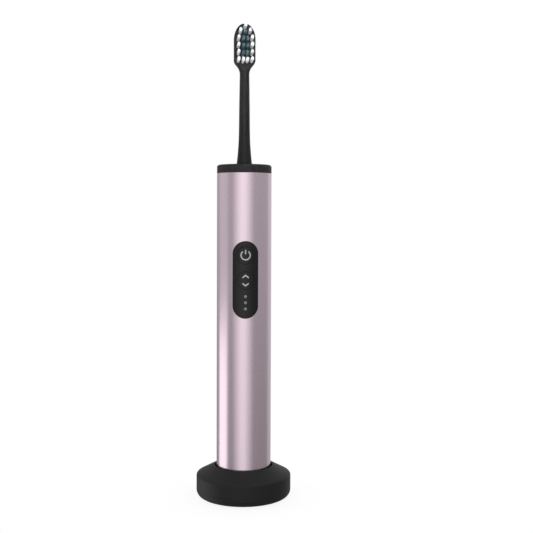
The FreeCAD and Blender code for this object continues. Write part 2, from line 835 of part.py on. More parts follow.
def make_barrel():
    body = new_body("barrel")
    revolve(body, [
        (barrel_bore, barrel_low),
        (size.handle_radius, barrel_low),
        (size.handle_radius, barrel_top),
        (barrel_bore, barrel_top),
    ])
    window = panel_slot(body, "window", size.panel_gap, size.handle_radius + 1)
    pocket(body, window, size.handle_radius)
    round_rings(body, [(size.handle_radius, barrel_low), (size.handle_radius, barrel_top)],
                size.barrel_wall / 5, kind="PartDesign::Chamfer")
    return body


cap_ring_height = barrel_top - size.cap_skirt / 2
end_ring_height = barrel_low + size.tail_plug * 0.6


def make_top_cap():
    body = new_body("top_cap")
    skirt_low = barrel_top - size.cap_skirt
    groove_low = cap_ring_height - size.groove_width / 2
    groove_high = cap_ring_height + size.groove_width / 2
    inner = groove_root - size.plug_wall
    revolve(body, [
        (size.seal_radius, seal_low),
        (inner, seal_low),
        (inner, skirt_low),
        (plug_radius, skirt_low),
        (plug_radius, groove_low),
        (groove_root, groove_low),
        (groove_root, groove_high),
        (plug_radius, groove_high),
        (plug_radius, barrel_top),
        (size.handle_radius, barrel_top),
        (size.handle_radius, cap_top),
        (size.hub_radius, cap_top),
        (size.hub_radius, hub_floor),
        (size.seal_radius, hub_floor),
    ])
    round_rings(body, [(size.handle_radius, cap_top)], size.cap_round)
    round_rings(body, [(size.hub_radius, cap_top)], size.cap_round / 4)
    return body


def o_ring(label, height):
    """A round rubber ring in the groove of one of the caps."""
    cord = (barrel_bore - groove_root) / 2 - size.touch_gap
    ring = doc.addObject("Part::Torus", label)
    ring.Label = label
    bind(ring, "Radius1", (barrel_bore + groove_root) / 2)
    bind(ring, "Radius2", cord)
    bind(ring, "Placement.Base.z", height)
    return ring


def make_shaft_seal():
    """A bellows seal that closes the cap round the drive shaft."""
    body = new_body("shaft_seal")
    bore = bearing_bore + 0.01
    lip = bore + 0.7
    outer = size.seal_radius - size.touch_gap
    revolve(body, [
        (bore, seal_low + 0.8),
        (lip, seal_low + 0.8),
        (lip + 0.5, seal_low),
        (outer, seal_low),
        (outer, hub_floor - 0.1),
        (size.seal_radius - 0.7, hub_floor - 0.1),
        (lip + 0.3, hub_floor - 1.0),
        (lip - 0.2, hub_floor - 0.15),
        (bore, hub_floor - 0.15),
    ])
    return body


def make_end_cap():
    """Closes the barrel's lower end; its socket takes the charging peg."""
    body = new_body("end_cap")
    groove_low = end_ring_height - size.groove_width / 2
    groove_high = end_ring_height + size.groove_width / 2
    plug_bore = groove_root - size.plug_wall
    socket_top = peg_top + size.socket_head
    floor_top = handle_low + size.tail_wall
    revolve(body, [
        (socket_radius, handle_low),
        (size.handle_radius, handle_low),
        (size.handle_radius, barrel_low),
        (plug_radius, barrel_low),
        (plug_radius, groove_low),
        (groove_root, groove_low),
        (groove_root, groove_high),
        (plug_radius, groove_high),
        (plug_radius, plug_top),
        (plug_bore, plug_top),
        (plug_bore, floor_top),
        (socket_outside, floor_top),
        (socket_outside, socket_top + size.socket_wall),
        (0, socket_top + size.socket_wall),
        (0, socket_top),
        (socket_radius, socket_top),
    ])
    round_rings(body, [(size.handle_radius, handle_low)], size.tail_wall / 2)
    round_rings(body, [(socket_radius, handle_low)], size.tail_wall / 4,
                kind="PartDesign::Chamfer")
    return body


def make_rx_bobbin():
    body = new_body("rx_bobbin")
    revolve(body, bobbin_outline(socket_outside + size.plug_gap, take_flange,
                                 take_low, take_high))
    return body


def make_rx_coil():
    inner = socket_outside + size.plug_gap + size.bobbin_wall + size.touch_gap
    edge = size.bobbin_wall + size.touch_gap
    return winding("rx_coil", inner, take_coil, take_low + edge, take_high - edge)


lead_back = take_coil + size.lead_radius + 0.75


def make_chassis():
    """The moulded frame that holds battery, motor and board; open at the front."""
    body = new_body("chassis")
    low = plug_top + size.frame_lift
    high = barrel_top - size.cap_skirt - size.frame_gap
    thick = size.deck_thick
    pads = size.pad_thick + size.touch_gap
    revolve(body, [
        (frame_bore, low),
        (frame_outer, low),
        (frame_outer, high),
        (frame_bore, high),
    ])
    decks = [
        ("lower_deck", low),
        ("battery_deck", battery_low - pads - thick),
        ("middle_deck", battery_high + pads),
        ("motor_deck", motor_low - size.touch_gap - thick),
    ]
    for name, height in decks:
        sketch = new_sketch(body, name, "XY_Plane", height)
        draw_circle(sketch, 0, 0, (frame_bore + frame_outer) / 2)
        draw_circle(sketch, 0, 0, size.deck_hole)
        pad(body, sketch, thick)
    front = new_sketch(body, "open_front", "XY_Plane", low - 1)
    wide = frame_outer + 1
    draw_outline(front, [
        (-wide, -wide),
        (wide, -wide),
        (wide, size.touch_gap - board_back),
        (-wide, size.touch_gap - board_back),
    ])
    pocket(body, front, high - low + 2, forwards=True)
    back = new_sketch(body, "lead_slot", "XY_Plane", low - 1)
    draw_circle(back, 0, lead_back, size.lead_radius * 4)
    pocket(body, back, battery_high + pads + thick + 2 - low, forwards=True)
    return body


def make_battery_cell():
    """A lithium cell: a can with a crimped shoulder and a positive button."""
    body = new_body("battery_cell")
    button = size.battery_radius * 0.35
    crimp = size.battery_radius - 0.5
    revolve(body, [
        (0, battery_low),
        (size.battery_radius, battery_low),
        (size.battery_radius, battery_high - 3.2),
        (crimp, battery_high - 2.8),
        (crimp, battery_high - 2.4),
        (size.battery_radius, battery_high - 2.0),
        (size.battery_radius, battery_high - 0.8),
        (button, battery_high - 0.8),
        (button, battery_high),
        (0, battery_high),
    ])
    return body


def make_battery_pads():
    """Foam rings between the cell and the decks, open in front for the strips."""
    pads = []
    radius = size.battery_radius.value - 0.3
    thick = size.pad_thick.value
    gap = size.touch_gap.value
    for height in (battery_low.value - thick, battery_high.value + gap):
        place = FreeCAD.Vector(0, 0, height)
        ring = Part.makeCylinder(radius, thick - gap, place)
        ring = ring.cut(Part.makeCylinder(size.deck_hole.value, thick, place))
        opening = Part.makeBox(10.0, 12.0, thick, FreeCAD.Vector(-5.0, -10.0, height))
        pads.append(ring.cut(opening))
    return group("battery_pads", pads)


def make_battery_tabs():
    """Nickel strips from the cell's ends to the back of the main board."""
    thick = 0.2
    wide = 3.4
    gap = size.touch_gap.value
    front = board_back.value - gap
    low = battery_low.value - gap - thick
    high = battery_high.value + gap
    board_foot = main_board_low.value + 6.0
    runs = [
        (-4.2, low, low, board_foot),
        (0.8, high, high + thick - 7.0, high + thick),
    ]
    strips = []
    for left, level, upright_low, upright_high in runs:
        flat = Part.makeBox(wide, front + 1.5, thick, FreeCAD.Vector(left, -front, level))
        upright = Part.makeBox(wide, thick, upright_high - upright_low,
                               FreeCAD.Vector(left, -front, upright_low))
        strips.append(flat.fuse(upright).removeSplitter().Solids[0])
    return group("battery_tabs", strips)


def make_motor_can():
    body = new_body("motor_can")
    inside = motor_radius - size.can_wall
    hub = size.bearing_radius + 0.05
    revolve(body, [
        (hub, motor_low),
        (motor_radius, motor_low),
        (motor_radius, motor_high),
        (inside, motor_high),
        (inside, motor_low + size.can_wall),
        (hub, motor_low + size.can_wall),
    ])
    return body


def bearing_plate(label, low):
    """An end plate that holds a bearing in the motor can."""
    body = new_body(label)
    thick = size.plate_metal
    outer = motor_radius - size.can_wall - size.touch_gap
    hub = size.bearing_radius + size.touch_gap
    revolve(body, [
        (hub, low),
        (outer, low),
        (outer, low + thick),
        (hub, low + thick),
    ])
    return body


def make_motor_front_plate():
    return bearing_plate("motor_front_plate", motor_high - size.plate_metal - 0.2)


def make_motor_rear_plate():
    return bearing_plate("motor_rear_plate", motor_low + size.can_wall + size.touch_gap)


def bearing(label, low):
    """A sintered bush with bevelled ends."""
    body = new_body(label)
    high = low + size.bearing_length
    revolve(body, [
        (bearing_bore, low),
        (size.bearing_radius, low),
        (size.bearing_radius, high),
        (bearing_bore, high),
    ])
    round_rings(body, [(size.bearing_radius, low), (size.bearing_radius, high)], 0.3,
                kind="PartDesign::Chamfer")
    return body


def make_front_bearing():
    return bearing("front_bearing", motor_high - 2.5)


def make_rear_bearing():
    return bearing("rear_bearing", motor_low + 0.1)


stator_low = motor_low + size.stator_inset
stator_high = motor_high - size.stator_inset
stator_outer = motor_radius - size.can_wall - size.touch_gap
pole_face = size.rotor_radius + size.air_gap


def make_stator_core():
    """Laminated iron: a ring with two poles that face the rotor."""
    body = new_body("stator_core")
    outer = stator_outer
    sketch = new_sketch(body, "yoke", "XY_Plane", stator_low)
    draw_circle(sketch, 0, 0, outer)
    draw_circle(sketch, 0, 0, outer - size.yoke_thick)
    pad(body, sketch, stator_high - stator_low)
    for name, side in (("left_pole", -1), ("right_pole", 1)):
        pole = new_sketch(body, name, "XY_Plane", stator_low)
        near = pole_face * 0.9 * side
        far = (outer - size.yoke_thick / 2) * side
        half = size.pole_width / 2
        draw_outline(pole, [(near, -half), (far, -half), (far, half), (near, half)])
        pad(body, pole, stator_high - stator_low)
    bore = new_sketch(body, "rotor_bore", "XY_Plane", stator_low - 1)
    draw_circle(bore, 0, 0, pole_face)
    pocket(body, bore, stator_high - stator_low + 2, forwards=True)
    return body


def make_stator_coils():
    """Copper windings round the two poles, as racetrack rings."""
    half = size.pole_width.value / 2 + size.touch_gap.value
    low = stator_low.value
    high = stator_high.value
    outer = (stator_outer - size.yoke_thick - size.touch_gap).value
    near = pole_face.value + size.air_gap.value
    wide = 2 * size.coil_height.value
    gap = size.touch_gap.value
    coils = []
    for side in (-1, 1):
        start = min(near * side, outer * side)
        thick = abs(outer - near)
        big = Part.makeBox(thick, 2 * half + wide, high - low + wide,
                           FreeCAD.Vector(start, -half - wide / 2, low - wide / 2))
        hole = Part.makeBox(thick, 2 * half, high - low + 2 * gap,
                            FreeCAD.Vector(start, -half, low - gap))
        edges = [e for e in big.Edges if abs(e.tangentAt(e.FirstParameter).x) > 0.99]
        coil = big.makeFillet(1.0, edges).cut(hole)
        limit = Part.makeCylinder(outer, high - low + 2 * wide,
                                  FreeCAD.Vector(0, 0, low - wide))
        coils.append(coil.common(limit))
    return group("stator_coils", [solid for coil in coils for solid in coil.Solids])


def make_motor_dampers():
    """Two silicone rings that carry the motor in the chassis, cut off at the board."""
    rings = []
    high = size.damper_high.value
    gap = size.touch_gap.value
    reach = frame_outer.value
    front = board_back.value - 0.1
    for height in (motor_low.value + high, motor_high.value - 2 * high):
        place = FreeCAD.Vector(0, 0, height)
        ring = Part.makeCylinder(frame_bore.value - gap, high, place)
        ring = ring.cut(Part.makeCylinder(motor_radius.value + gap, high, place))
        slab = Part.makeBox(2 * reach, reach, high,
                            FreeCAD.Vector(-reach, -reach - front, height))
        rings.append(ring.cut(slab))
    return group("motor_dampers", [solid for ring in rings for solid in ring.Solids])


def make_drive_shaft():
    """The steel shaft from the rear bearing to the flatted tip in the brush head."""
    body = new_body("drive_shaft")
    low = motor_low + 0.6
    revolve(body, [
        (0, low),
        (size.shaft_radius, low),
        (size.shaft_radius, shaft_tip - 0.4),
        (size.shaft_radius - 0.4, shaft_tip),
        (0, shaft_tip),
    ])
    flat = new_sketch(body, "tip_flat", "XY_Plane", shaft_tip - size.flat_length)
    wide = size.shaft_radius + 1
    depth = size.shaft_radius - size.shaft_flat
    draw_outline(flat, [(-wide, depth), (wide, depth), (wide, wide), (-wide, wide)])
    pocket(body, flat, size.flat_length + 1, forwards=True)
    return body


def make_rotor_core():
    body = new_body("rotor_core")
    root = size.rotor_radius - size.magnet_thick
    inner = size.shaft_radius + size.touch_gap / 2
    revolve(body, [
        (inner, stator_low - 0.5),
        (root, stator_low - 0.5),
        (root, stator_high + 0.5),
        (inner, stator_high + 0.5),
    ])
    return body


def make_rotor_magnets():
    """Four curved magnets glued round the rotor core."""
    low = stator_low.value
    high = stator_high.value
    inner = (size.rotor_radius - size.magnet_thick + size.touch_gap).value
    shell = Part.makeCylinder(size.rotor_radius.value, high - low, FreeCAD.Vector(0, 0, low),
                              FreeCAD.Vector(0, 0, 1), 84)
    shell = shell.cut(Part.makeCylinder(inner, high - low, FreeCAD.Vector(0, 0, low)))
    magnets = []
    for number in range(4):
        magnet = shell.copy()
        magnet.rotate(FreeCAD.Vector(), FreeCAD.Vector(0, 0, 1), 90 * number + 3 - 45)
        magnets.append(magnet)
    return group("rotor_magnets", magnets)


def make_main_board():
    """The long board behind the panel, with its corners cut off."""
    body = new_body("main_board")
    corner = 1.2
    half = board_half
    low = main_board_low
    high = main_board_high
    sketch = new_sketch(body, "board", "XZ_Plane", board_back)
    draw_outline(sketch, [
        (-half + corner, low),
        (half - corner, low),
        (half, low + corner),
        (half, high - corner),
        (half - corner, high),
        (-half + corner, high),
        (-half, high - corner),
        (-half, low + corner),
    ])
    pad(body, sketch, size.board_thick)
    return body


def make_board_parts():
    """Chips and passives on the main board's front: (x, z, width, height, depth)."""
    front = (board_front + size.touch_gap).value
    low = main_board_low.value
    placed = [
        (0.0, 10.0, 6.0, 6.0, 0.9),
        (5.8, 12.0, 2.0, 1.2, 0.8),
        (-5.8, 12.0, 2.0, 1.2, 0.8),
        (-5.5, 6.0, 3.0, 3.0, 1.0),
        (5.5, 6.0, 2.8, 2.2, 1.1),
        (0.0, 19.0, 4.0, 3.0, 0.9),
        (4.8, 22.5, 1.6, 0.8, 0.6),
        (-4.8, 22.5, 1.6, 0.8, 0.6),
    ]
    shapes = []
    for x, rise, wide, high, deep in placed:
        corner = FreeCAD.Vector(x - wide / 2, -front - deep, low + rise - high / 2)
        shapes.append(Part.makeBox(wide, deep, high, corner))
    return group("board_parts", shapes)


def dot_heights():
    return [dot_height - size.dot_pitch * number for number in range(3)]


diode_front = board_front + size.touch_gap + 0.6


def make_indicator_lights():
    """Three small light-emitting diodes behind the light guides."""
    shapes = []
    for height in dot_heights():
        corner = FreeCAD.Vector(-0.8, -diode_front.value, height.value - 0.4)
        shapes.append(Part.makeBox(1.6, 0.6, 0.8, corner))
    return group("indicator_lights", shapes)


def make_light_guides():
    """Clear rods from the diodes to the panel's surface."""
    back = (diode_front + size.touch_gap).value
    shapes = []
    for height in dot_heights():
        place = FreeCAD.Vector(0, -back, height.value)
        shapes.append(Part.makeCylinder(size.dot_radius.value, panel_face.value - back, place,
                                        FreeCAD.Vector(0, -1, 0)))
    return group("light_guides", shapes)


def panel_plate(label, grow, outer, inner):
    """A curved plate of the panel's outline, grown all round, between two radii."""
    prism = new_body(label + "_prism")
    sketch = panel_slot(prism, label + "_outline", grow, inner / 2)
    pad(prism, sketch, outer)
    low = panel_low - 5
    high = panel_high + 5
    ring = cut(label + "_ring", rod(label + "_out", outer, low, high),
               rod(label + "_in", inner, low - 1, high + 1))
    return common(label + "_curved", prism, ring)


def make_panel_frame():
    """The black panel: a curved plate with a flange inside the barrel."""
    flange_outer = barrel_bore - size.gasket_thick - size.touch_gap * 2
    plate = panel_plate("panel_plate", 0.0, panel_face, panel_back)
    flange = panel_plate("panel_flange_plate", size.panel_flange, flange_outer, panel_back)
    panel = fuse("panel_solid", plate, flange)
    tools = [board_room("panel_room")]
    for name, height in (("power", power_height), ("mode", mode_height)):
        hole = size.button_radius + size.button_gap
        seat = size.button_radius + size.button_step + size.button_gap
        tools.append(front_rod(f"{name}_hole", hole, panel_back - 3, panel_face + 1, height))
        tools.append(front_rod(f"{name}_seat", seat, panel_back - 3, button_shelf, height))
    for number, height in enumerate(dot_heights(), 1):
        tools.append(front_rod(f"dot_hole_{number}", size.dot_radius + 0.03, panel_back - 3,
                               panel_face + 1, height))
    return cut("panel_frame", panel, fuse("panel_openings", *tools))


def board_room(label):
    """The space that the panel and its gasket leave for the main board."""
    reach = size.panel_width
    return block(label, (-reach, -board_front - 0.1, panel_low - 5),
                 (reach, 0, panel_high + 5))


def make_panel_gasket():
    """A rubber ring between the panel's flange and the inside of the barrel."""
    outer = barrel_bore - size.touch_gap
    inner = outer - size.gasket_thick
    whole = panel_plate("gasket_whole", size.panel_flange, outer, inner)
    hole = panel_plate("gasket_hole", size.panel_gap, outer + 1, inner - 1)
    return cut("panel_gasket", whole, fuse("gasket_tools", hole, board_room("gasket_room")))


def make_button(label, height):
    """A round key whose face follows the barrel, with a flange and a stem."""
    cap = front_rod(label + "_cap", size.button_radius, button_shelf - 0.1, panel_face + 1,
                    height)
    barrel_line = rod(label + "_face", panel_face, height - 8, height + 8)
    face = common(label + "_curved", cap, barrel_line)
    flange = front_rod(label + "_flange", size.button_radius + size.button_step,
                       button_back, button_shelf - size.touch_gap, height)
    stem = front_rod(label + "_stem", size.button_stem, plunger_tip + size.touch_gap / 2,
                     button_shelf - 0.1, height)
    return fuse(label, face, flange, stem)


def make_switch(label, height):
    """The body of a push switch, with a well for its plunger."""
    half = size.switch_side / 2
    body = block(label + "_case", (-half, -switch_front, height - half),
                 (half, -board_front - size.touch_gap, height + half))
    well = front_rod(label + "_well", size.plunger_radius + 0.05, board_front + 0.2,
                     switch_front + 1, height)
    return cut(label, body, well)


def make_plunger(label, height):
    back = board_front + 0.25 + size.button_travel
    return front_rod(label, size.plunger_radius, back, plunger_tip, height)


# ---- brush head -------------------------------------------------------------

def neck_solid():
    """The neck as a turned solid: a flared foot, a waist and a slow taper."""
    foot = head_foot.value
    flare = size.flare_length.value
    waist = foot + flare
    top = plate_low.value - size.shoulder_drop.value
    end = plate_low.value + 3.0
    between = (size.neck_foot.value - size.neck_waist.value) * 0.42 + size.neck_waist.value
    places = [
        (size.neck_foot.value, foot + size.foot_edge.value),
        (between, foot + flare * 0.46),
        (size.neck_waist.value, waist),
        ((size.neck_waist.value + size.neck_top.value) / 2, (waist + top) / 2),
        (size.neck_top.value, top),
        (plate_face.value - 0.25, end),
    ]
    curve = Part.BSplineCurve()
    curve.interpolate([FreeCAD.Vector(radius, 0, height) for radius, height in places])
    start = curve.value(curve.FirstParameter)
    finish = curve.value(curve.LastParameter)
    low_rim = FreeCAD.Vector((size.neck_foot - size.foot_edge).value, 0, foot)
    corners = [start, low_rim, FreeCAD.Vector(0, 0, foot), FreeCAD.Vector(0, 0, end), finish]
    edges = [curve.toShape()]
    for here, there in zip(corners, corners[1:]):
        edges.append(Part.LineSegment(here, there).toShape())
    face = Part.Face(Part.Wire(Part.__sortEdges__(edges)))
    return face.revolve(FreeCAD.Vector(), FreeCAD.Vector(0, 0, 1), 360)


def flare_middle(x, z, far_x, far_z):
    """Middle of the arc that leaves (x, z) upwards and ends at the far point."""
    turn = math.atan2(far_x - x, far_z - z)
    radius = math.hypot(far_x - x, far_z - z) / (2 * math.sin(turn))
    return x + radius * (1 - math.cos(turn)), z + radius * math.sin(turn)


def plate_outline(face):
    """The head plate's outline: oval tip, straight sides and flares to the neck."""
    half = size.plate_width.value / 2
    arch = head_tip.value - size.plate_arch.value
    low = plate_low.value + 0.6
    neck = plate_low.value - size.shoulder_drop.value
    waist = size.neck_top.value - 0.25
    shoulder = half - 0.12
    bend_x, bend_z = flare_middle(waist, neck, shoulder, low)

    def point(x, z):
        return FreeCAD.Vector(x, -face, z)

    oval = Part.Ellipse(point(0, head_tip.value), point(half, arch), point(0, arch))
    edges = [Part.ArcOfEllipse(oval, -math.pi / 2, math.pi / 2).toShape()]
    for side in (-1, 1):
        top = point(side * half, arch)
        corner = point(side * shoulder, low)
        bend = point(side * bend_x, bend_z)
        foot = point(side * waist, neck)
        edges.append(Part.LineSegment(top, corner).toShape())
        edges.append(Part.Arc(corner, bend, foot).toShape())
    edges.append(Part.LineSegment(point(-waist, neck), point(waist, neck)).toShape())
    return Part.Face(Part.Wire(Part.__sortEdges__(edges)))


def plate_solid():
    """The head plate with rounded shoulders and rims."""
    face = plate_face.value
    low = plate_low.value + 0.6
    neck = plate_low.value - size.shoulder_drop.value
    plate = plate_outline(face).extrude(FreeCAD.Vector(0, size.plate_thick.value, 0))
    shoulders = [edge for edge in plate.Edges
                 if abs(edge.tangentAt(edge.FirstParameter).y) > 0.99
                 and abs(edge.CenterOfMass.z - low) < NEAR]
    plate = plate.makeFillet(1.6, shoulders)
    rims = [edge for edge in plate.Edges
            if abs(abs(edge.CenterOfMass.y) - face) < NEAR and edge.CenterOfMass.z > neck + 0.1]
    return plate.makeFillet(0.9, rims)


def tuft_places():
    """Tuft centres as (x, z, is_inner), from the tip downwards."""
    top = head_tip.value - size.tip_to_tuft.value
    pitch = size.row_pitch.value
    outer = size.outer_column.value
    inner = size.inner_column.value
    sag = size.inner_sag.value
    places = [(0.0, top, False)]
    first = top - pitch * 0.66
    places += [(-outer * 0.72, first, False), (outer * 0.72, first, False)]
    places.append((0.0, first - sag - 0.3, True))
    for row in range(1, 5):
        height = first - pitch * row
        last = row == 4
        places += [(-outer, height, False), (outer, height, False)]
        drop = sag / 2 if last else sag
        places += [(-inner, height - drop, not last), (inner, height - drop, not last)]
    return places


def oval_post(x, z, back, front, grow=0.0):
    """An oval bar along Y, from back to front, both measured forwards from the axis."""
    wide = size.tuft_width.value / 2 + grow
    long_side = size.tuft_long.value / 2 + grow
    centre = FreeCAD.Vector(x, -back, z)
    ellipse = Part.Ellipse(centre + FreeCAD.Vector(0, 0, long_side),
                           centre + FreeCAD.Vector(wide, 0, 0), centre)
    face = Part.Face(Part.Wire(ellipse.toShape()))
    return face.extrude(FreeCAD.Vector(0, back - front, 0))


def tuft_floor():
    """How far forwards of the axis the tuft holes end."""
    return plate_face.value - size.hole_depth.value


def make_brush_head():
    shape = neck_solid().fuse(plate_solid())
    bore = Part.makeCylinder(size.foot_bore.value, size.bore_depth.value + 1,
                             FreeCAD.Vector(0, 0, head_foot.value - 1))
    shape = shape.cut(bore)
    holes = [oval_post(x, z, tuft_floor(), plate_face.value + 1, size.tuft_gap.value)
             for x, z, inner in tuft_places()]
    shape = shape.cut(Part.makeCompound(holes))
    return finished("brush_head_shell", shape.Solids[0])


def make_tufts(label, wanted):
    """Bristle bundles of one colour, standing on their anchors."""
    back = tuft_floor() + size.staple_high.value + 2 * size.touch_gap.value
    front = plate_face.value + size.tuft_reach.value
    shapes = [oval_post(x, z, back, front) for x, z, inner in tuft_places()
              if inner == wanted]
    return group(label, shapes)


def make_tuft_anchors():
    """A small metal staple at the bottom of each tuft hole."""
    wide = size.tuft_width.value - 0.2
    thick = size.staple_thick.value
    high = size.staple_high.value
    front = tuft_floor() + size.touch_gap.value + high
    shapes = []
    for x, z, inner in tuft_places():
        corner = FreeCAD.Vector(x - wide / 2, -front, z - thick / 2)
        shapes.append(Part.makeBox(wide, high, thick, corner))
    return group("tuft_anchors", shapes)


def shaft_profile(label, grow, low, high):
    """A bar with the shaft's flatted section, grown all round."""
    reach = size.shaft_radius + grow
    whole = rod(label + "_round", reach, low, high)
    flat = size.shaft_radius - size.shaft_flat + grow
    slab = block(label + "_flat", (-reach - 1, flat, low - 1), (reach + 1, reach + 1, high + 1))
    return cut(label + "_section", whole, slab)


def make_shaft_insert():
    """A hard sleeve in the neck; its upper part fits the shaft's flat."""
    low = head_foot + size.insert_edge
    flat_low = shaft_tip - size.flat_length
    high = head_foot + size.bore_depth - size.touch_gap
    sleeve = rod("insert_sleeve", size.foot_bore - size.touch_gap, low, high)
    entry = rod("insert_entry", size.shaft_radius + size.insert_gap, low - 1, flat_low + 0.5)
    upper = shaft_profile("insert_upper", size.insert_gap, flat_low, shaft_tip + 0.4)
    groove_low = head_foot + size.clip_rise
    groove_high = groove_low + size.clip_high + 0.1
    ring = cut("insert_groove", rod("groove_out", size.foot_bore + 1, groove_low, groove_high),
               rod("groove_in", size.foot_bore - size.clip_depth, groove_low - 1,
                   groove_high + 1))
    return cut("shaft_insert", sleeve, fuse("insert_openings", entry, upper, ring))


def make_shaft_clip():
    """A split spring ring round the insert."""
    low = head_foot + size.clip_rise + 0.05
    high = low + size.clip_high
    outer = size.foot_bore - size.clip_depth + size.clip_thick + 0.03
    ring = cut("clip_ring", rod("clip_out", outer, low, high),
               rod("clip_in", outer - size.clip_thick, low - 1, high + 1))
    split = block("clip_split", (-0.6, 0, low - 1), (0.6, size.foot_bore + 1, high + 1))
    return cut("shaft_clip", ring, split)


# ---- leads ------------------------------------------------------------------

def lead(points, radius):
    """A round wire along straight runs joined by tangent arcs."""
    places = [FreeCAD.Vector(*point) for point in points]
    edges = []
    start = places[0]
    for before, corner, after in zip(places, places[1:], places[2:]):
        come = (corner - before).normalize()
        leave = (after - corner).normalize()
        turn = come.getAngle(leave)
        run = min((corner - before).Length, (after - corner).Length)
        bend = min(0.45 * run, 10 * radius)
        first = corner - come * bend
        last = corner + leave * bend
        bisector = (leave - come).normalize()
        arc_radius = bend / math.tan(turn / 2)
        centre = corner + bisector * (arc_radius / math.cos(turn / 2))
        middle = centre - bisector * arc_radius
        edges.append(Part.LineSegment(start, first).toShape())
        edges.append(Part.Arc(first, middle, last).toShape())
        start = last
    edges.append(Part.LineSegment(start, places[-1]).toShape())
    path = Part.Wire(edges)
    heading = (places[1] - places[0]).normalize()
    ring = Part.Wire(Part.Circle(places[0], heading, radius).toShape())
    tube = path.makePipeShell([ring], True, False)
    expected = math.pi * radius ** 2 * path.Length
    if abs(tube.Volume / expected - 1) > 0.02:
        raise RuntimeError("a lead's volume does not match its length")
    return tube


def make_coil_leads():
    """Two wires from the receiving coil, up behind the cell and across to the board."""
    start = (take_low.value + take_high.value) / 2
    edge = take_coil.value + size.touch_gap.value
    back = lead_back.value
    crossing = battery_high.value + 8.0
    board = -(board_back.value - size.touch_gap.value)
    shapes = []
    for side in (-1, 1):
        x = 0.8 * side
        shapes.append(lead([
            (x, edge, start),
            (x, back, start),
            (x, back, crossing),
            (3 * x, board + 3.0, crossing + 4.0),
            (3 * x, board, crossing + 4.0),
        ], size.lead_radius.value))
    return group("coil_leads", shapes)


def make_motor_leads():
    """Two wires from the motor's underside through its deck to the board."""
    top = motor_low.value - size.touch_gap.value
    board = -(board_back.value - size.touch_gap.value)
    shapes = []
    for side in (-1, 1):
        x = 2.6 * side
        shapes.append(lead([
            (x, -1.0, top),
            (x, -1.0, top - 5.0),
            (2.4 * x, board + 3.0, top - 8.5),
            (2.4 * x, board, top - 8.5),
        ], size.lead_radius.value))
    return group("motor_leads", shapes)


def make_send_leads():
    """Two wires from the sending coil, up beside its bobbin and onto the board."""
    side_x = 3.0
    edge = math.sqrt((send_coil.value + size.touch_gap.value) ** 2 - side_x ** 2)
    gap = math.sqrt((size.bobbin_flange.value + 0.4) ** 2 - side_x ** 2)
    start = (send_low.value + send_high.value) / 2 - 1.0
    over = board_top.value + 0.55
    shapes = []
    for side in (-1, 1):
        x = side_x * side
        shapes.append(lead([
            (x, -edge - 0.12, start),
            (x, -gap, start),
            (x, -gap, over),
            (1.3 * x, -gap - 3.0, over),
        ], 0.22))
    return group("send_leads", shapes)


# ---- the whole brush --------------------------------------------------------

PIECES = [
    make_charger_top_shell(),
    make_charger_bottom_cover(),
    make_foot_ring(),
    make_charger_screws(),
    make_ferrite_core(),
    make_tx_bobbin(),
    make_tx_coil(),
    make_charger_board(),
    make_charger_parts(),
    make_inlet_shell(),
    make_inlet_tongue(),
    make_send_leads(),
    make_barrel(),
    make_top_cap(),
    o_ring("cap_ring", cap_ring_height),
    make_shaft_seal(),
    make_end_cap(),
    o_ring("end_ring", end_ring_height),
    make_rx_bobbin(),
    make_rx_coil(),
    make_coil_leads(),
    make_motor_leads(),
    make_chassis(),
    make_battery_cell(),
    make_battery_pads(),
    make_battery_tabs(),
    make_motor_can(),
    make_motor_front_plate(),
    make_motor_rear_plate(),
    make_front_bearing(),
    make_rear_bearing(),
    make_stator_core(),
    make_stator_coils(),
    make_motor_dampers(),
    make_main_board(),
    make_board_parts(),
    make_indicator_lights(),
    make_light_guides(),
    make_panel_frame(),
    make_panel_gasket(),
    make_switch("power_switch", power_height),
    make_switch("mode_switch", mode_height),
    make_plunger("power_plunger", power_height),
    make_plunger("mode_plunger", mode_height),
    make_button("power_button", power_height),
    make_button("mode_button", mode_height),
    make_drive_shaft(),
    make_rotor_core(),
    make_rotor_magnets(),
    make_brush_head(),
    make_shaft_insert(),
    make_shaft_clip(),
    make_tufts("tufts_white", False),
    make_tufts("tufts_blue", True),
    make_tuft_anchors(),
]


def check_document():
    """Stops if any object failed or any piece is empty, open or broken."""
    doc.recompute()
    for thing in doc.Objects:
        if {"Invalid", "Error"} & set(thing.State):
            raise RuntimeError(f"{thing.Label} failed: {thing.State}")
    for piece in PIECES:
        shape = piece.Shape
        if shape.isNull() or not shape.isValid() or not shape.Solids:
            raise RuntimeError(f"{piece.Label} has no valid solid")


check_document()
os.makedirs("parts", exist_ok=True)
for piece in PIECES:
    piece.Shape.exportStep(f"parts/{piece.Label}.step")
    print(f"{piece.Label:22s} {len(piece.Shape.Solids):3d} solids {piece.Shape.Volume:10.2f} mm3")
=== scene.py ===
"""An electric toothbrush standing on its charger.

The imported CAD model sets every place. This file models what shows of the brush and of
its charging puck round that frame, gives each part its finish, and sets up a plain
white studio.
"""
import json
import math
import random

import bmesh
import bpy
from bpy.props import FloatProperty, FloatVectorProperty, IntProperty, PointerProperty
from mathutils import Matrix, Vector


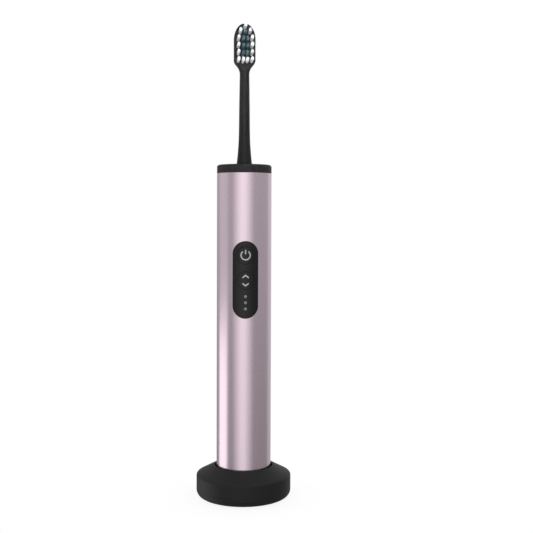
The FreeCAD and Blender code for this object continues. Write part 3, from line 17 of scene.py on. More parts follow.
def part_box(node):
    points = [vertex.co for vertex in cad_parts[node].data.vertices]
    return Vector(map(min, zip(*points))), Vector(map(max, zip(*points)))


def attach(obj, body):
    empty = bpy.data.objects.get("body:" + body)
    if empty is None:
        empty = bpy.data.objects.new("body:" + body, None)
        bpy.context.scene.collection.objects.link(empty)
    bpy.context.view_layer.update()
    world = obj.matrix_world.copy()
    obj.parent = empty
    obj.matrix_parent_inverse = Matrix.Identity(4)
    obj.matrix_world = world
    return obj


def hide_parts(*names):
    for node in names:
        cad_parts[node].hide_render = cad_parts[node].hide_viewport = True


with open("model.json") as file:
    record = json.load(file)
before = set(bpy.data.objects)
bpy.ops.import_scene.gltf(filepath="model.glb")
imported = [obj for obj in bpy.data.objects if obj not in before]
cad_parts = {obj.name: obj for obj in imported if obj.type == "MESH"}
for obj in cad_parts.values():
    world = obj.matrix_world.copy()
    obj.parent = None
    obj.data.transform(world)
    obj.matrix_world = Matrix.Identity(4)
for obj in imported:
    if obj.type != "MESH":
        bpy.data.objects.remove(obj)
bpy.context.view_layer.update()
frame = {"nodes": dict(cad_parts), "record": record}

bl_info = {
    "name": "Electric Toothbrush",
    "version": (1, 0, 0),
    "blender": (4, 5, 0),
    "location": "View3D > Sidebar > Toothbrush",
    "description": "Models an electric toothbrush and its charging puck round a CAD frame",
    "category": "Add Mesh",
}

MM = 0.001
NEAR = 1e-7
CLOSE = 1e-6
BARREL_LOW, BARREL_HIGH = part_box("barrel")
PANEL_LOW, PANEL_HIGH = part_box("panel_frame")
HEAD_LOW, HEAD_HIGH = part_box("brush_head_shell")
PUCK_LOW, PUCK_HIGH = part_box("charger_top_shell")
TUFT_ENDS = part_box("tufts_white")[0].y


# ---- sizes and colours a user may change --------------------------------------

def length(description, millimetres):
    return FloatProperty(description=description, default=millimetres * MM, min=0.0,
                         unit="LENGTH", precision=5)


def angle(description, degrees):
    return FloatProperty(description=description, default=math.radians(degrees),
                         unit="ROTATION")


def colour(description, shade):
    return FloatVectorProperty(description=description, default=shade, size=3, min=0.0,
                               max=1.0, subtype="COLOR")


def level(description, default, top):
    return FloatProperty(description=description, default=default, min=0.0, max=top)


class HandleSizes(bpy.types.PropertyGroup):
    """Sizes of the handle, of its panel and of what is on the panel."""

    radius: length("Outside of the barrel", BARREL_HIGH.x / MM)
    wall: length("Thickness of the aluminium tube", 0.8)
    edge: length("Broken edge at the tube's ends and round its slot", 0.16)
    plug_gap: length("Air between the caps' plugs and the bore", 0.05)
    groove: length("Depth of the O-ring grooves", 1.15)
    groove_width: length("Width of the O-ring grooves", 1.4)
    plug_wall: length("Wall behind the O-ring grooves", 0.75)
    cap_round: length("Round of the cap's top edge", 1.3)
    cap_skirt: length("Plug of the top cap in the barrel", 6.8)
    hub_radius: length("Recess for the brush head's foot", 5.0)
    hub_depth: length("Depth of that recess", 3.2)
    seal_radius: length("Bore that holds the shaft seal", 3.3)
    seal_height: length("Height of the shaft seal", 2.4)
    tail_floor: length("Floor of the end cap", 1.5)
    socket_radius: length("Socket for the charging peg", 4.35)
    socket_wall: length("Wall of that socket", 1.0)
    slot_gap: length("Gap between panel and barrel", 0.1)
    flange: length("Flange of the panel inside the barrel", 1.3)
    panel_proud: length("Panel face above the barrel", 0.05)
    panel_edge: length("Round of the panel's rim", 0.3)
    panel_step: length("Depth of the flange behind the panel's face", 1.5)
    panel_depth: length("Thickness of the panel", 2.6)
    key_radius: length("Radius of both buttons", 4.7)
    key_gap: length("Gap round the buttons", 0.12)
    key_step: length("Width of the flange behind the buttons", 0.6)
    key_shelf: length("Depth of the buttons' flange", 2.15)
    key_edge: length("Round of the buttons' rims", 0.12)
    light_radius: length("Radius of the three light guides", 0.85)
    mark_stroke: length("Line width of the marks on the buttons", 0.66)
    power_mark: length("Radius of the power mark", 2.45)
    arrow_width: length("Width of the two arrows", 3.5)
    arrow_rise: length("Height of each arrow", 2.25)
    arrow_gap: length("Height between the arrows' ends", 2.0)


class HeadSizes(bpy.types.PropertyGroup):
    """Sizes of the brush head and its bristles."""

    bore: length("Radius of the bore in the neck", 2.4)
    bore_depth: length("Depth of that bore", 24.0)
    foot_edge: length("Bevel of the foot", 0.3)
    neck_waist: length("Neck radius above the flared foot", 3.14)
    neck_top: length("Neck radius under the plate", 2.62)
    flare: length("Length of the flared foot", 17.0)
    plate_length: length("Plate from its shoulders to the tip", 22.0)
    plate_half: length("Half the plate's thickness", 2.2)
    plate_arch: length("Length of the rounded tip", 8.8)
    plate_edge: length("Round of the plate's rims", 0.9)
    shoulder: length("Length of the taper from plate to neck", 5.6)
    tuft_width: length("Tuft across the head", 1.65)
    tuft_height: length("Tuft along the head", 2.15)
    row_pitch: length("Spacing of the tuft rows", 3.85)
    first_row: length("First tuft below the tip", 2.6)
    outer_column: length("Outer tufts from the middle", 3.62)
    inner_column: length("Inner tufts from the middle", 1.12)
    inner_sag: length("Inner tufts below the outer ones", 0.6)
    filament: length("Diameter of one bristle", 0.2)
    filament_pitch: length("Spacing of the bristles in a tuft", 0.222)
    seed: IntProperty(description="Start of the bristles' random spread", default=7)


class ChargerSizes(bpy.types.PropertyGroup):
    """Sizes of the charging puck."""

    bottom: length("Cover's underside above the table", 0.4)
    split: length("Height of the line between cover and shell", PUCK_LOW.z / MM)
    corner: length("Round of the lower edge", 3.8)
    shoulder: length("Height where the side meets the slope", 12.6)
    shoulder_round: length("Round between side and slope", 1.2)
    rim_height: length("Top of the rim round the well", 17.6)
    rim_width: length("Flat rim between slope and well", 0.7)
    rim_round: length("Round of the rim's edges", 0.5)
    well_gap: length("Gap between handle and well", 0.9)
    well_floor: length("Height of the well's floor", 9.3)
    floor_wall: length("Thickness of the well's floor", 1.4)
    peg_radius: length("Charging peg in the well", 4.0)
    peg_round: length("Round of the peg's top", 0.9)
    peg_wall: length("Wall of the hollow peg", 0.95)
    wall: length("Wall of both shells", 1.8)
    cover_floor: length("Floor of the bottom cover", 1.5)
    lip: length("Locating lip of the cover", 1.0)
    seam: length("Broken edges along the split line", 0.12)
    inlet_half_width: length("Half the inlet slot's width", 4.62)
    inlet_half_height: length("Half the inlet slot's height", 1.78)


class BrushColours(bpy.types.PropertyGroup):
    """Colours of the finishes that show."""

    barrel: colour("Anodised aluminium", (0.82, 0.668, 0.752))
    plastic: colour("Moulded black of caps and puck", (0.0185, 0.0190, 0.0190))
    head: colour("Moulded black of the brush head", (0.0075, 0.0077, 0.0079))
    panel: colour("Polished black of the panel and its buttons", (0.0108, 0.0113, 0.0112))
    marks: colour("Moulded marks on the buttons", (0.72, 0.72, 0.72))
    lights: colour("The three clear light guides", (0.34, 0.34, 0.34))
    rubber: colour("Foot ring, seals and gaskets", (0.012, 0.012, 0.0125))
    white_tip: colour("Tips of the white bristles", (0.86, 0.87, 0.88))
    # painted shade: a darker grey at the white bristles' roots stands in for the shade
    # among the tufts
    white_root_shade: colour("Roots of the white bristles", (0.66, 0.68, 0.70))
    blue_tip: colour("Tips of the blue bristles", (0.095, 0.17, 0.20))
    blue_root: colour("Roots of the blue bristles", (0.003, 0.034, 0.052))


class StudioSettings(bpy.types.PropertyGroup):
    """Camera and lights."""

    distance: length("Camera from the brush's axis", 516.5)
    height: length("Camera above the table", 156)
    azimuth: angle("Camera's place round the brush", -3.16)
    aside: angle("Aim to the right of the brush", 1.371)
    tilt: angle("Aim below the horizon", 2.17)
    roll: angle("Turn about the line of sight", 0.2)
    lens: FloatProperty(description="Focal length on a 36 mm sensor", default=63.25,
                        unit="CAMERA")
    shift: FloatProperty(description="Vertical shift of the lens", default=-0.03)
    key: level("Radiance of each of the three nested softboxes in front", 0.22, 20.0)
    strip: level("Radiance of the low softbox on the left", 0.85, 50.0)
    side: level("Radiance of the tall softbox on the left", 0.16, 20.0)
    head: level("Radiance of the small lamp aimed at the bristles", 3.6, 90.0)
    fill: level("Radiance of the wide panel behind on the right", 0.22, 20.0)
    top: level("Radiance of the softbox overhead", 0.6, 20.0)
    high: level("Brightness of the room above the horizon", 0.46, 5.0)
    low: level("Brightness of the room below the horizon", 0.25, 5.0)


# ---- finishes -------------------------------------------------------------------

WAVE_SCALE = 0.314159  # a wave texture at this scale has bands one metre apart


class Nodes:
    """The node tree of a material or a world."""

    def __init__(self, owner):
        owner.use_nodes = True
        self.nodes = owner.node_tree.nodes
        self.links = owner.node_tree.links

    def add(self, kind, inputs=(), **settings):
        """Adds a node with its settings, and its inputs by name or number."""
        node = self.nodes.new(kind)
        for name, value in settings.items():
            setattr(node, name, value)
        for number, value in inputs:
            if isinstance(value, bpy.types.NodeSocket):
                self.links.new(value, node.inputs[number])
            else:
                node.inputs[number].default_value = value
        return node


class Finish(Nodes):
    """A procedural material, put together one node at a time."""

    def __init__(self, name, **sockets):
        self.material = bpy.data.materials.new(name)
        super().__init__(self.material)
        self.shader = self.nodes["Principled BSDF"]
        for socket, value in sockets.items():
            self.set(socket.replace("_", " ").title().replace("Ior", "IOR"), value)

    def set(self, socket, value):
        """Gives one of the shader's sockets a constant or the output of a node."""
        if isinstance(value, bpy.types.NodeSocket):
            self.links.new(value, self.shader.inputs[socket])
        elif isinstance(value, float):
            self.shader.inputs[socket].default_value = value
        else:
            self.shader.inputs[socket].default_value = (*value, 1.0)

    def place(self, stretch=(1.0, 1.0, 1.0), turn=0.0):
        """Object coordinates in metres, turned about X and stretched along the axes."""
        where = self.add("ShaderNodeTexCoord").outputs["Object"]
        return self.add("ShaderNodeMapping", [(0, where), (2, (turn, 0.0, 0.0)),
                                              (3, stretch)]).outputs[0]

    def noise(self, size, detail=3.0, stretch=(1.0, 1.0, 1.0)):
        """Cloudy noise whose spots are about size metres across."""
        node = self.add("ShaderNodeTexNoise", [("Vector", self.place(stretch)),
                                               ("Scale", 1 / size), ("Detail", detail)])
        return node.outputs[0]

    def cells(self, size):
        """Rounded cells about size metres across."""
        node = self.add("ShaderNodeTexVoronoi", [("Vector", self.place()),
                                                 ("Scale", 1 / size)])
        return node.outputs["Distance"]

    def bands(self, pitch, wander=0.0):
        """Even bands up the Z axis, for windings and stacked sheets."""
        node = self.add("ShaderNodeTexWave", [
            ("Vector", self.place()), ("Scale", WAVE_SCALE / pitch), ("Distortion", wander),
        ], wave_type="BANDS", bands_direction="Z")
        return node.outputs[1]

    def along_y(self, start, end):
        """Runs from 0 to 1 between two places on the Y axis."""
        where = self.add("ShaderNodeTexCoord").outputs["Object"]
        parts = self.add("ShaderNodeSeparateXYZ", [(0, where)])
        return self.add("ShaderNodeMapRange", [(0, parts.outputs["Y"]), (1, start),
                                               (2, end)]).outputs[0]

    def spread(self, share, low, high):
        """A number between low and high."""
        return self.add("ShaderNodeMapRange", [(0, share), (3, low), (4, high)]).outputs[0]

    def mixed(self, share, first, second):
        """A colour between two colours."""
        shades = (shade if isinstance(shade, bpy.types.NodeSocket) else (*shade, 1.0)
                  for shade in (first, second))
        return self.add("ShaderNodeMix", [(0, share), *zip((6, 7), shades)],
                        data_type="RGBA").outputs[2]

    def bump(self, height, depth):
        """Raises the surface by up to depth metres where height is 1."""
        node = self.add("ShaderNodeBump", [("Strength", 1.0), ("Distance", depth),
                                           ("Height", height)])
        self.set("Normal", node.outputs[0])

    def dress(self, pattern, shade, tones, roughness, depth, relief=None):
        """Lets a pattern vary the colour and the roughness and raise the surface.

        A relief raises the surface in its place. Returns the finished material.
        """
        shades = [shaded(shade, tone) for tone in tones]
        self.set("Base Color", self.mixed(pattern, *shades))
        self.set("Roughness", self.spread(pattern, *roughness))
        self.bump(pattern if relief is None else relief, depth)
        return self.material


def shaded(shade, amount):
    return tuple(part * amount for part in shade)


def moulded_plastic(name, shade, roughness=0.5, grain=0.22 * MM, depth=0.012 * MM,
                    specular=0.2):
    """Injection-moulded plastic with a spark-eroded grain."""
    finish = Finish(name, specular_ior_level=specular)
    return finish.dress(finish.noise(6 * MM, 2.0), shade, (0.92, 1.08),
                        (roughness - 0.03, roughness + 0.03), depth,
                        finish.noise(grain, 2.0))


def polished_plastic(name, shade, roughness=0.14, specular=0.3):
    """Smooth glossy plastic with a trace of waviness and fine dust in its roughness."""
    finish = Finish(name, specular_ior_level=specular)
    return finish.dress(finish.noise(4 * MM), shade, (0.94, 1.06),
                        (roughness, roughness + 0.05), 0.01 * MM, finish.noise(5 * MM, 1.0))


def anodised_aluminium(name, shade):
    """Bead-blasted aluminium under a clear dyed oxide."""
    finish = Finish(name, metallic=1.0)
    cloud = finish.noise(9 * MM)
    finish.set("Base Color", finish.mixed(cloud, shaded(shade, 0.985),
                                          shaded(shade, 1.015)))
    blast = finish.noise(0.18 * MM, 2.0)
    finish.set("Roughness", finish.spread(blast, 0.24, 0.30))
    finish.bump(blast, 0.0012 * MM)
    return finish.material


def drawn_metal(name, shade, roughness=0.22, stretch=(1.0, 1.0, 0.05)):
    """Drawn or turned metal with fine marks along one axis."""
    finish = Finish(name, metallic=1.0)
    return finish.dress(finish.noise(0.25 * MM, 4.0, stretch), shade, (0.9, 1.0),
                        (roughness, roughness + 0.14), 0.002 * MM)


def moulded_rubber(name, shade):
    """Soft rubber, dull and faintly mottled."""
    finish = Finish(name, specular_ior_level=0.3)
    return finish.dress(finish.noise(2.5 * MM, 4.0), shade, (0.85, 1.3), (0.62, 0.76),
                        0.02 * MM, finish.noise(0.35 * MM))


def wound_wire(name, shade):
    """Enamelled wire wound side by side."""
    finish = Finish(name, metallic=1.0, coat_weight=0.5, coat_roughness=0.15)
    return finish.dress(finish.bands(0.28 * MM, wander=0.4), shade, (0.35, 1.0),
                        (0.5, 0.24), 0.08 * MM)


def stacked_sheet(name, shade):
    """Steel laminations with dark lines between them."""
    finish = Finish(name, metallic=1.0)
    return finish.dress(finish.bands(0.5 * MM), shade, (0.3, 1.0), (0.6, 0.34), 0.03 * MM)


def pressed_powder(name, shade, roughness=0.55):
    """Sintered ferrite or magnet, with pores and pale specks."""
    finish = Finish(name)
    return finish.dress(finish.cells(0.5 * MM), shade, (1.5, 0.8),
                        (roughness - 0.1, roughness + 0.1), 0.02 * MM,
                        finish.noise(0.3 * MM, 4.0))


def open_foam(name, shade):
    """Soft foam with open pores."""
    finish = Finish(name, specular_ior_level=0.15)
    return finish.dress(finish.cells(0.45 * MM), shade, (0.35, 1.0), (0.95, 0.8), 0.25 * MM)


def shrunk_sleeve(name, shade):
    """Heat-shrunk film, glossy with faint ripples."""
    finish = Finish(name)
    return finish.dress(finish.noise(3 * MM, 2.0, (1.0, 1.0, 0.35)), shade, (0.9, 1.1),
                        (0.16, 0.3), 0.06 * MM)


def clear_light_guide(name, shade):
    """Frosted clear plastic, grey against the dark behind it."""
    finish = Finish(name, transmission_weight=0.12, specular_ior_level=0.4)
    return finish.dress(finish.noise(0.5 * MM, 2.0), shade, (0.9, 1.1), (0.3, 0.42),
                        0.01 * MM)


def solder_mask(name, mask, copper):
    """A circuit board with tracks under its green mask."""
    finish = Finish(name, coat_weight=0.3, coat_roughness=0.2)
    grid = finish.add("ShaderNodeTexBrick", [
        ("Vector", finish.place(turn=0.7)), ("Scale", 1 / (4 * MM)), ("Mortar Size", 0.06),
        ("Color1", (0, 0, 0, 1)), ("Color2", (0, 0, 0, 1)), ("Mortar", (1, 1, 1, 1)),
    ], offset=0.37, squash=0.6, squash_frequency=3)
    track = grid.outputs[0]
    weave = finish.noise(0.7 * MM, 2.0)
    board = finish.mixed(weave, shaded(mask, 0.8), shaded(mask, 1.15))
    finish.set("Base Color", finish.mixed(track, board, copper))
    finish.set("Roughness", finish.spread(weave, 0.3, 0.42))
    finish.bump(track, 0.03 * MM)
    return finish.material


def drawn_nylon(name, root, tip):
    """Bristles whose colour changes from root to tip: painted shade darkens the white ones
    at their roots, and the blue ones are paler at their faded tips.
    """
    plate = -HEAD_HIGH.y * 0.45
    finish = Finish(name, specular_ior_level=0.4)
    share = finish.along_y(plate, TUFT_ENDS)
    streaks = finish.noise(0.12 * MM, 2.0, (1.0, 0.02, 1.0))
    pale = finish.mixed(streaks, shaded(tip, 0.88), tip)
    # darker towards the roots: painted shade for the white bristles, the dyed root colour
    # for the blue ones
    finish.set("Base Color", finish.mixed(share, root, pale))
    finish.set("Roughness", finish.spread(streaks, 0.3, 0.42))
    finish.bump(streaks, 0.004 * MM)
    return finish.material


STEEL = (0.56, 0.57, 0.58)
COPPER = (0.72, 0.30, 0.14)


def make_finishes(colours):
    """The material of each slot in the record."""
    return {
        "black_plastic": moulded_plastic("Moulded black", colours.plastic),
        "black_gloss": polished_plastic("Polished black", colours.panel),
        "head_black": moulded_plastic("Satin black", colours.head, 0.4, 0.16 * MM,
                                      0.005 * MM, 0.25),
        "anodised_pink": anodised_aluminium("Anodised pink", colours.barrel),
        "dark_rubber": moulded_rubber("Dark rubber", colours.rubber),
        "grey_rubber": moulded_rubber("Grey rubber", (0.09, 0.09, 0.095)),
        "steel": drawn_metal("Drawn steel", STEEL),
        "bush_bronze": pressed_powder("Bearing bronze", (0.38, 0.20, 0.08), 0.42),
        "copper_wire": wound_wire("Wound copper", COPPER),
        "ferrite": pressed_powder("Ferrite", (0.035, 0.034, 0.036)),
        "lamination": stacked_sheet("Laminated steel", (0.42, 0.42, 0.43)),
        "magnet": drawn_metal("Plated magnet", (0.62, 0.60, 0.56), 0.3, (1, 1, 1)),
        "bobbin_plastic": moulded_plastic("Bobbin plastic", (0.60, 0.57, 0.48), 0.45),
        "frame_plastic": moulded_plastic("Frame plastic", (0.07, 0.07, 0.075), 0.5),
        "circuit_board": solder_mask("Circuit board", (0.012, 0.10, 0.035),
                                     (0.03, 0.24, 0.09)),
        "chip_plastic": moulded_plastic("Chip plastic", (0.02, 0.02, 0.021), 0.55,
                                        0.1 * MM),
        "lead_red": polished_plastic("Red insulation", (0.42, 0.018, 0.014), 0.32, 0.5),
        "cell_sleeve": shrunk_sleeve("Cell sleeve", (0.03, 0.13, 0.36)),
        "foam": open_foam("Foam", (0.055, 0.055, 0.06)),
        "nickel_strip": drawn_metal("Nickel strip", (0.66, 0.63, 0.57), 0.28, (1, 0.08, 1)),
        "diode": polished_plastic("Diode", (0.78, 0.72, 0.42), 0.25, 0.5),
        "clear_guide": clear_light_guide("Light guide", colours.lights),
        "insert_plastic": moulded_plastic("Insert plastic", (0.52, 0.54, 0.56), 0.4),
        "nylon_white": drawn_nylon("White nylon", colours.white_root_shade, colours.white_tip),
        "nylon_blue": drawn_nylon("Blue nylon", colours.blue_root, colours.blue_tip),
        "marks": clear_light_guide("Moulded marks", colours.marks),
    }


finishes = {}


def finish_of(slot):
    """The slot's material; all of them are made when the first is asked for."""
    if not finishes:
        finishes.update(make_finishes(bpy.context.scene.brush_colours))
    return finishes[slot]


# ---- modelling helpers ------------------------------------------------------------

class Part:
    """What the operators share: each one builds its pieces from the scene's sizes."""

    bl_options = {"REGISTER", "UNDO"}

    def execute(self, context):
        self.build(context.scene)
        return {"FINISHED"}


def as_mesh(name, bm):
    mesh = bpy.data.meshes.new(name)
    bm.to_mesh(mesh)
    bm.free()
    return mesh


def in_scene(name, data):
    made = bpy.data.objects.new(name, data)
    bpy.context.scene.collection.objects.link(made)
    return made


SHARP = 32.0  # edges that turn by more degrees than this stay sharp in the shading


def add_piece(name, bm, body, slot, stands_for=(), finish=None, sharp=SHARP):
    """Makes the modelled shape a piece of the brush, on its body and in its finish."""
    mesh = as_mesh(name, bm)
    mesh.shade_smooth()
    mesh.set_sharp_from_angle(angle=math.radians(sharp))
    mesh.materials.append(finish_of(finish or slot))
    piece = in_scene(name, mesh)
    even = piece.modifiers.new("Even shading", "WEIGHTED_NORMAL")
    even.keep_sharp = True
    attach(piece, body)
    if stands_for:
        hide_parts(*stands_for)
    return piece


def closed(bm):
    """Joins doubled corners and turns every face outwards."""
    bmesh.ops.remove_doubles(bm, verts=bm.verts[:], dist=NEAR)
    bmesh.ops.recalc_face_normals(bm, faces=bm.faces[:])
    return bm


def verts_in(made):
    return [part for part in made if isinstance(part, bmesh.types.BMVert)]


def edges_of(verts):
    return list({edge for vert in verts for edge in vert.link_edges})


def extruded(bm, edges):
    """Extrudes open edges. Returns the new corners and the edges between them."""
    made = bmesh.ops.extrude_edge_only(bm, edges=edges)["geom"]
    ring = verts_in(made)
    kept = set(ring)
    return ring, [part for part in made if isinstance(part, bmesh.types.BMEdge)
                  and set(part.verts) <= kept]


def thicken(bm, shift):
    """Extrudes every face and moves the new ones along Y."""
    made = bmesh.ops.extrude_face_region(bm, geom=bm.faces[:])["geom"]
    bmesh.ops.translate(bm, verts=verts_in(made), vec=(0, shift, 0))


def soften(bm, geom, offset, segments, affect="VERTICES"):
    """Rounds corners or edges."""
    bmesh.ops.bevel(bm, geom=geom, offset=offset, segments=segments, profile=0.5,
                    affect=affect, material=-1, clamp_overlap=affect == "EDGES")


def middle_height(node):
    low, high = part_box(node)
    return (low.z + high.z) / 2


def rounded_face(corners, segments=6):
    """A flat face in the XZ plane from (across, height, rounding) corners."""
    bm = bmesh.new()
    verts = [bm.verts.new((across, 0, height)) for across, height, _ in corners]
    bm.faces.new(verts)
    places = [Vector((across, height)) for across, height, _ in corners]
    for number, vert in enumerate(verts):
        rounding = corners[number][2]
        if rounding:
            before = places[number - 1] - places[number]
            after = places[(number + 1) % len(places)] - places[number]
            reach = rounding / math.tan(before.angle(after) / 2)
            soften(bm, [vert], reach, segments)
    return bm


def turned(corners, steps=160, segments=6):
    """A solid turned about the Z axis from its half section."""
    bm = rounded_face(corners, segments)
    bmesh.ops.delete(bm, geom=bm.faces[:], context="FACES_ONLY")
    for edge in bm.edges[:]:
        if all(abs(vert.co.x) < NEAR for vert in edge.verts):
            bm.edges.remove(edge)
    bmesh.ops.spin(bm, geom=bm.verts[:] + bm.edges[:], cent=(0, 0, 0), axis=(0, 0, 1),
                   angle=2 * math.pi, steps=steps, use_merge=True)
    return closed(bm)


OUTLINE_STEPS = 64
HALF_STEP = math.pi / OUTLINE_STEPS


def start_outline(bm, low, high, radius):
    """A circle drawn out between two heights, in the XZ plane. Returns its edges."""
    turn = Matrix.Rotation(math.pi / 2, 4, "X") @ Matrix.Rotation(HALF_STEP, 4, "Z")
    ring = bmesh.ops.create_circle(bm, cap_ends=False, segments=OUTLINE_STEPS,
                                   radius=radius / math.cos(HALF_STEP), matrix=turn)
    for vert in ring["verts"]:
        vert.co.z += high if vert.co.z > 0 else low
    return edges_of(ring["verts"])


def carry_back(bm, low, high, radius, steps):
    """Walls of a plate: an outline carried back in (outset, depth) steps.

    Returns the edges of its first and of its last ring.
    """
    first = start_outline(bm, low, high, radius + steps[0][0])
    for vert in {vert for edge in first for vert in edge.verts}:
        vert.co.y = steps[0][1]
    last = first
    for outset, depth in steps[1:]:
        ring, last = extruded(bm, last)
        for vert in ring:
            middle = Vector((0, 0, high if vert.co.z > (low + high) / 2 else low))
            out = Vector((vert.co.x, 0, vert.co.z)) - middle
            place = middle + out.normalized() * (radius + outset) / math.cos(HALF_STEP)
            vert.co = (place.x, depth, place.z)
    return first, last


def fill(bm, edges):
    bmesh.ops.triangle_fill(bm, use_beauty=True, edges=edges)


COLUMN = 0.6 * MM


def cut_columns(bm, half, pitch):
    """Cuts a flat shape into narrow columns, so that it can follow a curve."""
    count = math.ceil(half / pitch)
    for number in range(-count, count + 1):
        bmesh.ops.bisect_plane(bm, geom=bm.verts[:] + bm.edges[:] + bm.faces[:],
                               dist=NEAR, plane_co=(number * pitch, 0, 0),
                               plane_no=(1, 0, 0))


def lay_on_barrel(bm, radius, flat_from=None):
    """Moves a plate from y 0 onto the barrel's front, curved like it.

    Behind the depth flat_from, the plate stays flat.
    """
    for vert in bm.verts:
        sag = radius - math.sqrt(radius ** 2 - vert.co.x ** 2)
        if flat_from:
            sag *= max(0.0, 1 - vert.co.y / flat_from)
        vert.co.y += sag - radius


def parts_of(count):
    """Shares of a whole, from the first of count equal parts up to 1."""
    return [part / count for part in range(1, count + 1)]


def round_steps(edge, outset=0.0, parts=4, opening=False):
    """Steps of an edge round from the front face down to the wall."""
    side = 1 if opening else -1
    steps = []
    for part in range(parts + 1):
        turn = math.pi / 2 * part / parts
        steps.append((outset + side * edge * (1 - math.sin(turn)),
                      edge * (1 - math.cos(turn))))
    return steps


# ---- handle -----------------------------------------------------------------------

BARREL_COLUMNS = 76  # columns of faces from the slot's side round to the back
BARREL_COLUMN = 1 * MM  # their width while the barrel is still flat
RIM_ANGLE = 1.2  # edges sharper than this are broken, in radians


class TOOTHBRUSH_OT_barrel(Part, bpy.types.Operator):
    """Models the anodised tube with the slot for the panel"""

    bl_idname = "toothbrush.barrel"
    bl_label = "Barrel"

    def build(self, scene):
        sizes = scene.handle_sizes
        inset = PANEL_HIGH.x - sizes.flange
        half = inset + sizes.slot_gap
        low = PANEL_LOW.z + sizes.flange + inset
        high = PANEL_HIGH.z - sizes.flange - inset
        middle = (low + high) / 2
        bm = bmesh.new()
        outline = start_outline(bm, low, high, half)
        for goal, upper in ((BARREL_HIGH.z, True), (BARREL_LOW.z, False)):
            part = [edge for edge in outline
                    if all((vert.co.z > middle) == upper for vert in edge.verts)]
            for vert in extruded(bm, part)[0]:
                vert.co.z = goal
        for side in (-1, 1):
            front = [edge for edge in bm.edges
                     if all(abs(vert.co.x - side * half) < CLOSE for vert in edge.verts)]
            for _ in range(BARREL_COLUMNS):
                moved, front = extruded(bm, front)
                bmesh.ops.translate(bm, verts=moved, vec=(side * BARREL_COLUMN, 0, 0))
        bmesh.ops.recalc_face_normals(bm, faces=bm.faces[:])
        thicken(bm, sizes.wall)
        bmesh.ops.recalc_face_normals(bm, faces=bm.faces[:])
        around = BARREL_COLUMNS * BARREL_COLUMN
        seams = [face for face in bm.faces
                 if all(abs(abs(vert.co.x) - half - around) < CLOSE for vert in face.verts)]
        bmesh.ops.delete(bm, geom=seams, context="FACES_ONLY")
        rims = [edge for edge in bm.edges if len(edge.link_faces) == 2
                and edge.calc_face_angle() > RIM_ANGLE]
        soften(bm, rims, sizes.edge, 3, "EDGES")
        for vert in bm.verts:
            radius = sizes.radius - vert.co.y
            edge_turn = math.asin(half / radius)
            across = abs(vert.co.x)
            if across <= half:
                turn = math.asin(across / radius)
            else:
                share = (across - half) / around
                turn = edge_turn + (math.pi - edge_turn) * share
            turn = math.copysign(turn, vert.co.x)
            vert.co.x = radius * math.sin(turn)
            vert.co.y = -radius * math.cos(turn)
        add_piece("barrel_tube", closed(bm), "handle", "anodised_pink", ["barrel"])


def ring_groove(plug, sizes, middle):
    """Corners of an O-ring's groove, from its lower edge up."""
    root, half = plug - sizes.groove, sizes.groove_width / 2
    return [(plug, middle - half, 0), (root, middle - half, 0),
            (root, middle + half, 0), (plug, middle + half, 0)]


RING_SHARE = 0.6  # how far up the end cap's plug its O-ring lies


class TOOTHBRUSH_OT_caps(Part, bpy.types.Operator):
    """Models the top cap, its shaft seal and the end cap with the charging socket"""

    bl_idname = "toothbrush.caps"
    bl_label = "Caps"

    def build(self, scene):
        sizes = scene.handle_sizes
        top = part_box("top_cap")[1].z
        joint = BARREL_HIGH.z
        plug = sizes.radius - sizes.wall - sizes.plug_gap
        bore = plug - sizes.groove - sizes.plug_wall
        skirt = joint - sizes.cap_skirt
        ring = joint - sizes.cap_skirt / 2
        floor = top - sizes.hub_depth
        seal = floor - sizes.seal_height
        cap = turned([
            (sizes.seal_radius, seal, 0),
            (bore, seal, 0.3 * MM),
            (bore, skirt, 0),
            (plug, skirt, 0.3 * MM),
            *ring_groove(plug, sizes, ring),
            (plug, joint, 0),
            (sizes.radius, joint, 0.08 * MM),
            (sizes.radius, top, sizes.cap_round),
            (sizes.hub_radius, top, 0.33 * MM),
            (sizes.hub_radius, floor, 0.25 * MM),
            (sizes.seal_radius, floor, 0.1 * MM),
        ], segments=8)
        add_piece("cap_collar", cap, "handle", "black_plastic", ["top_cap"])

        seal_low, seal_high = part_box("shaft_seal")
        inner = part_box("drive_shaft")[1].x + 0.04 * MM
        outer = seal_high.x
        lip = inner + 0.7 * MM
        bellows = turned([
            (inner, seal_low.z + 0.8 * MM, 0.05 * MM),
            (lip, seal_low.z + 0.8 * MM, 0),
            (lip + 0.5 * MM, seal_low.z, 0),
            (outer, seal_low.z, 0),
            (outer, seal_high.z, 0.15 * MM),
            (outer - 0.68 * MM, seal_high.z, 0.15 * MM),
            (lip + 0.3 * MM, seal_high.z - 0.9 * MM, 0.2 * MM),
            (lip - 0.2 * MM, seal_high.z - 0.05 * MM, 0.15 * MM),
            (inner, seal_high.z - 0.05 * MM, 0.1 * MM),
        ], steps=64, segments=4)
        add_piece("bellows_seal", bellows, "handle", "grey_rubber", ["shaft_seal"])

        low, head = (corner.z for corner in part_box("end_cap"))
        joint = BARREL_LOW.z
        ring = middle_height("end_ring")
        plug_top = joint + (ring - joint) / RING_SHARE
        outside = sizes.socket_radius + sizes.socket_wall
        inside_floor = low + sizes.tail_floor
        tail = turned([
            (sizes.socket_radius, low, 0.35 * MM),
            (sizes.radius, low, 0.75 * MM),
            (sizes.radius, joint, 0.08 * MM),
            (plug, joint, 0),
            *ring_groove(plug, sizes, ring),
            (plug, plug_top, 0.3 * MM),
            (bore, plug_top, 0),
            (bore, inside_floor, 0.4 * MM),
            (outside, inside_floor, 0.4 * MM),
            (outside, head, 0.4 * MM),
            (0, head, 0),
            (0, head - sizes.socket_wall, 0),
            (sizes.socket_radius, head - sizes.socket_wall, 0.5 * MM),
        ])
        add_piece("tail_cap", tail, "handle", "black_plastic", ["end_cap"])


FLAT_DEPTH = 0.5 * MM
FLAT_LENGTH = 12 * MM


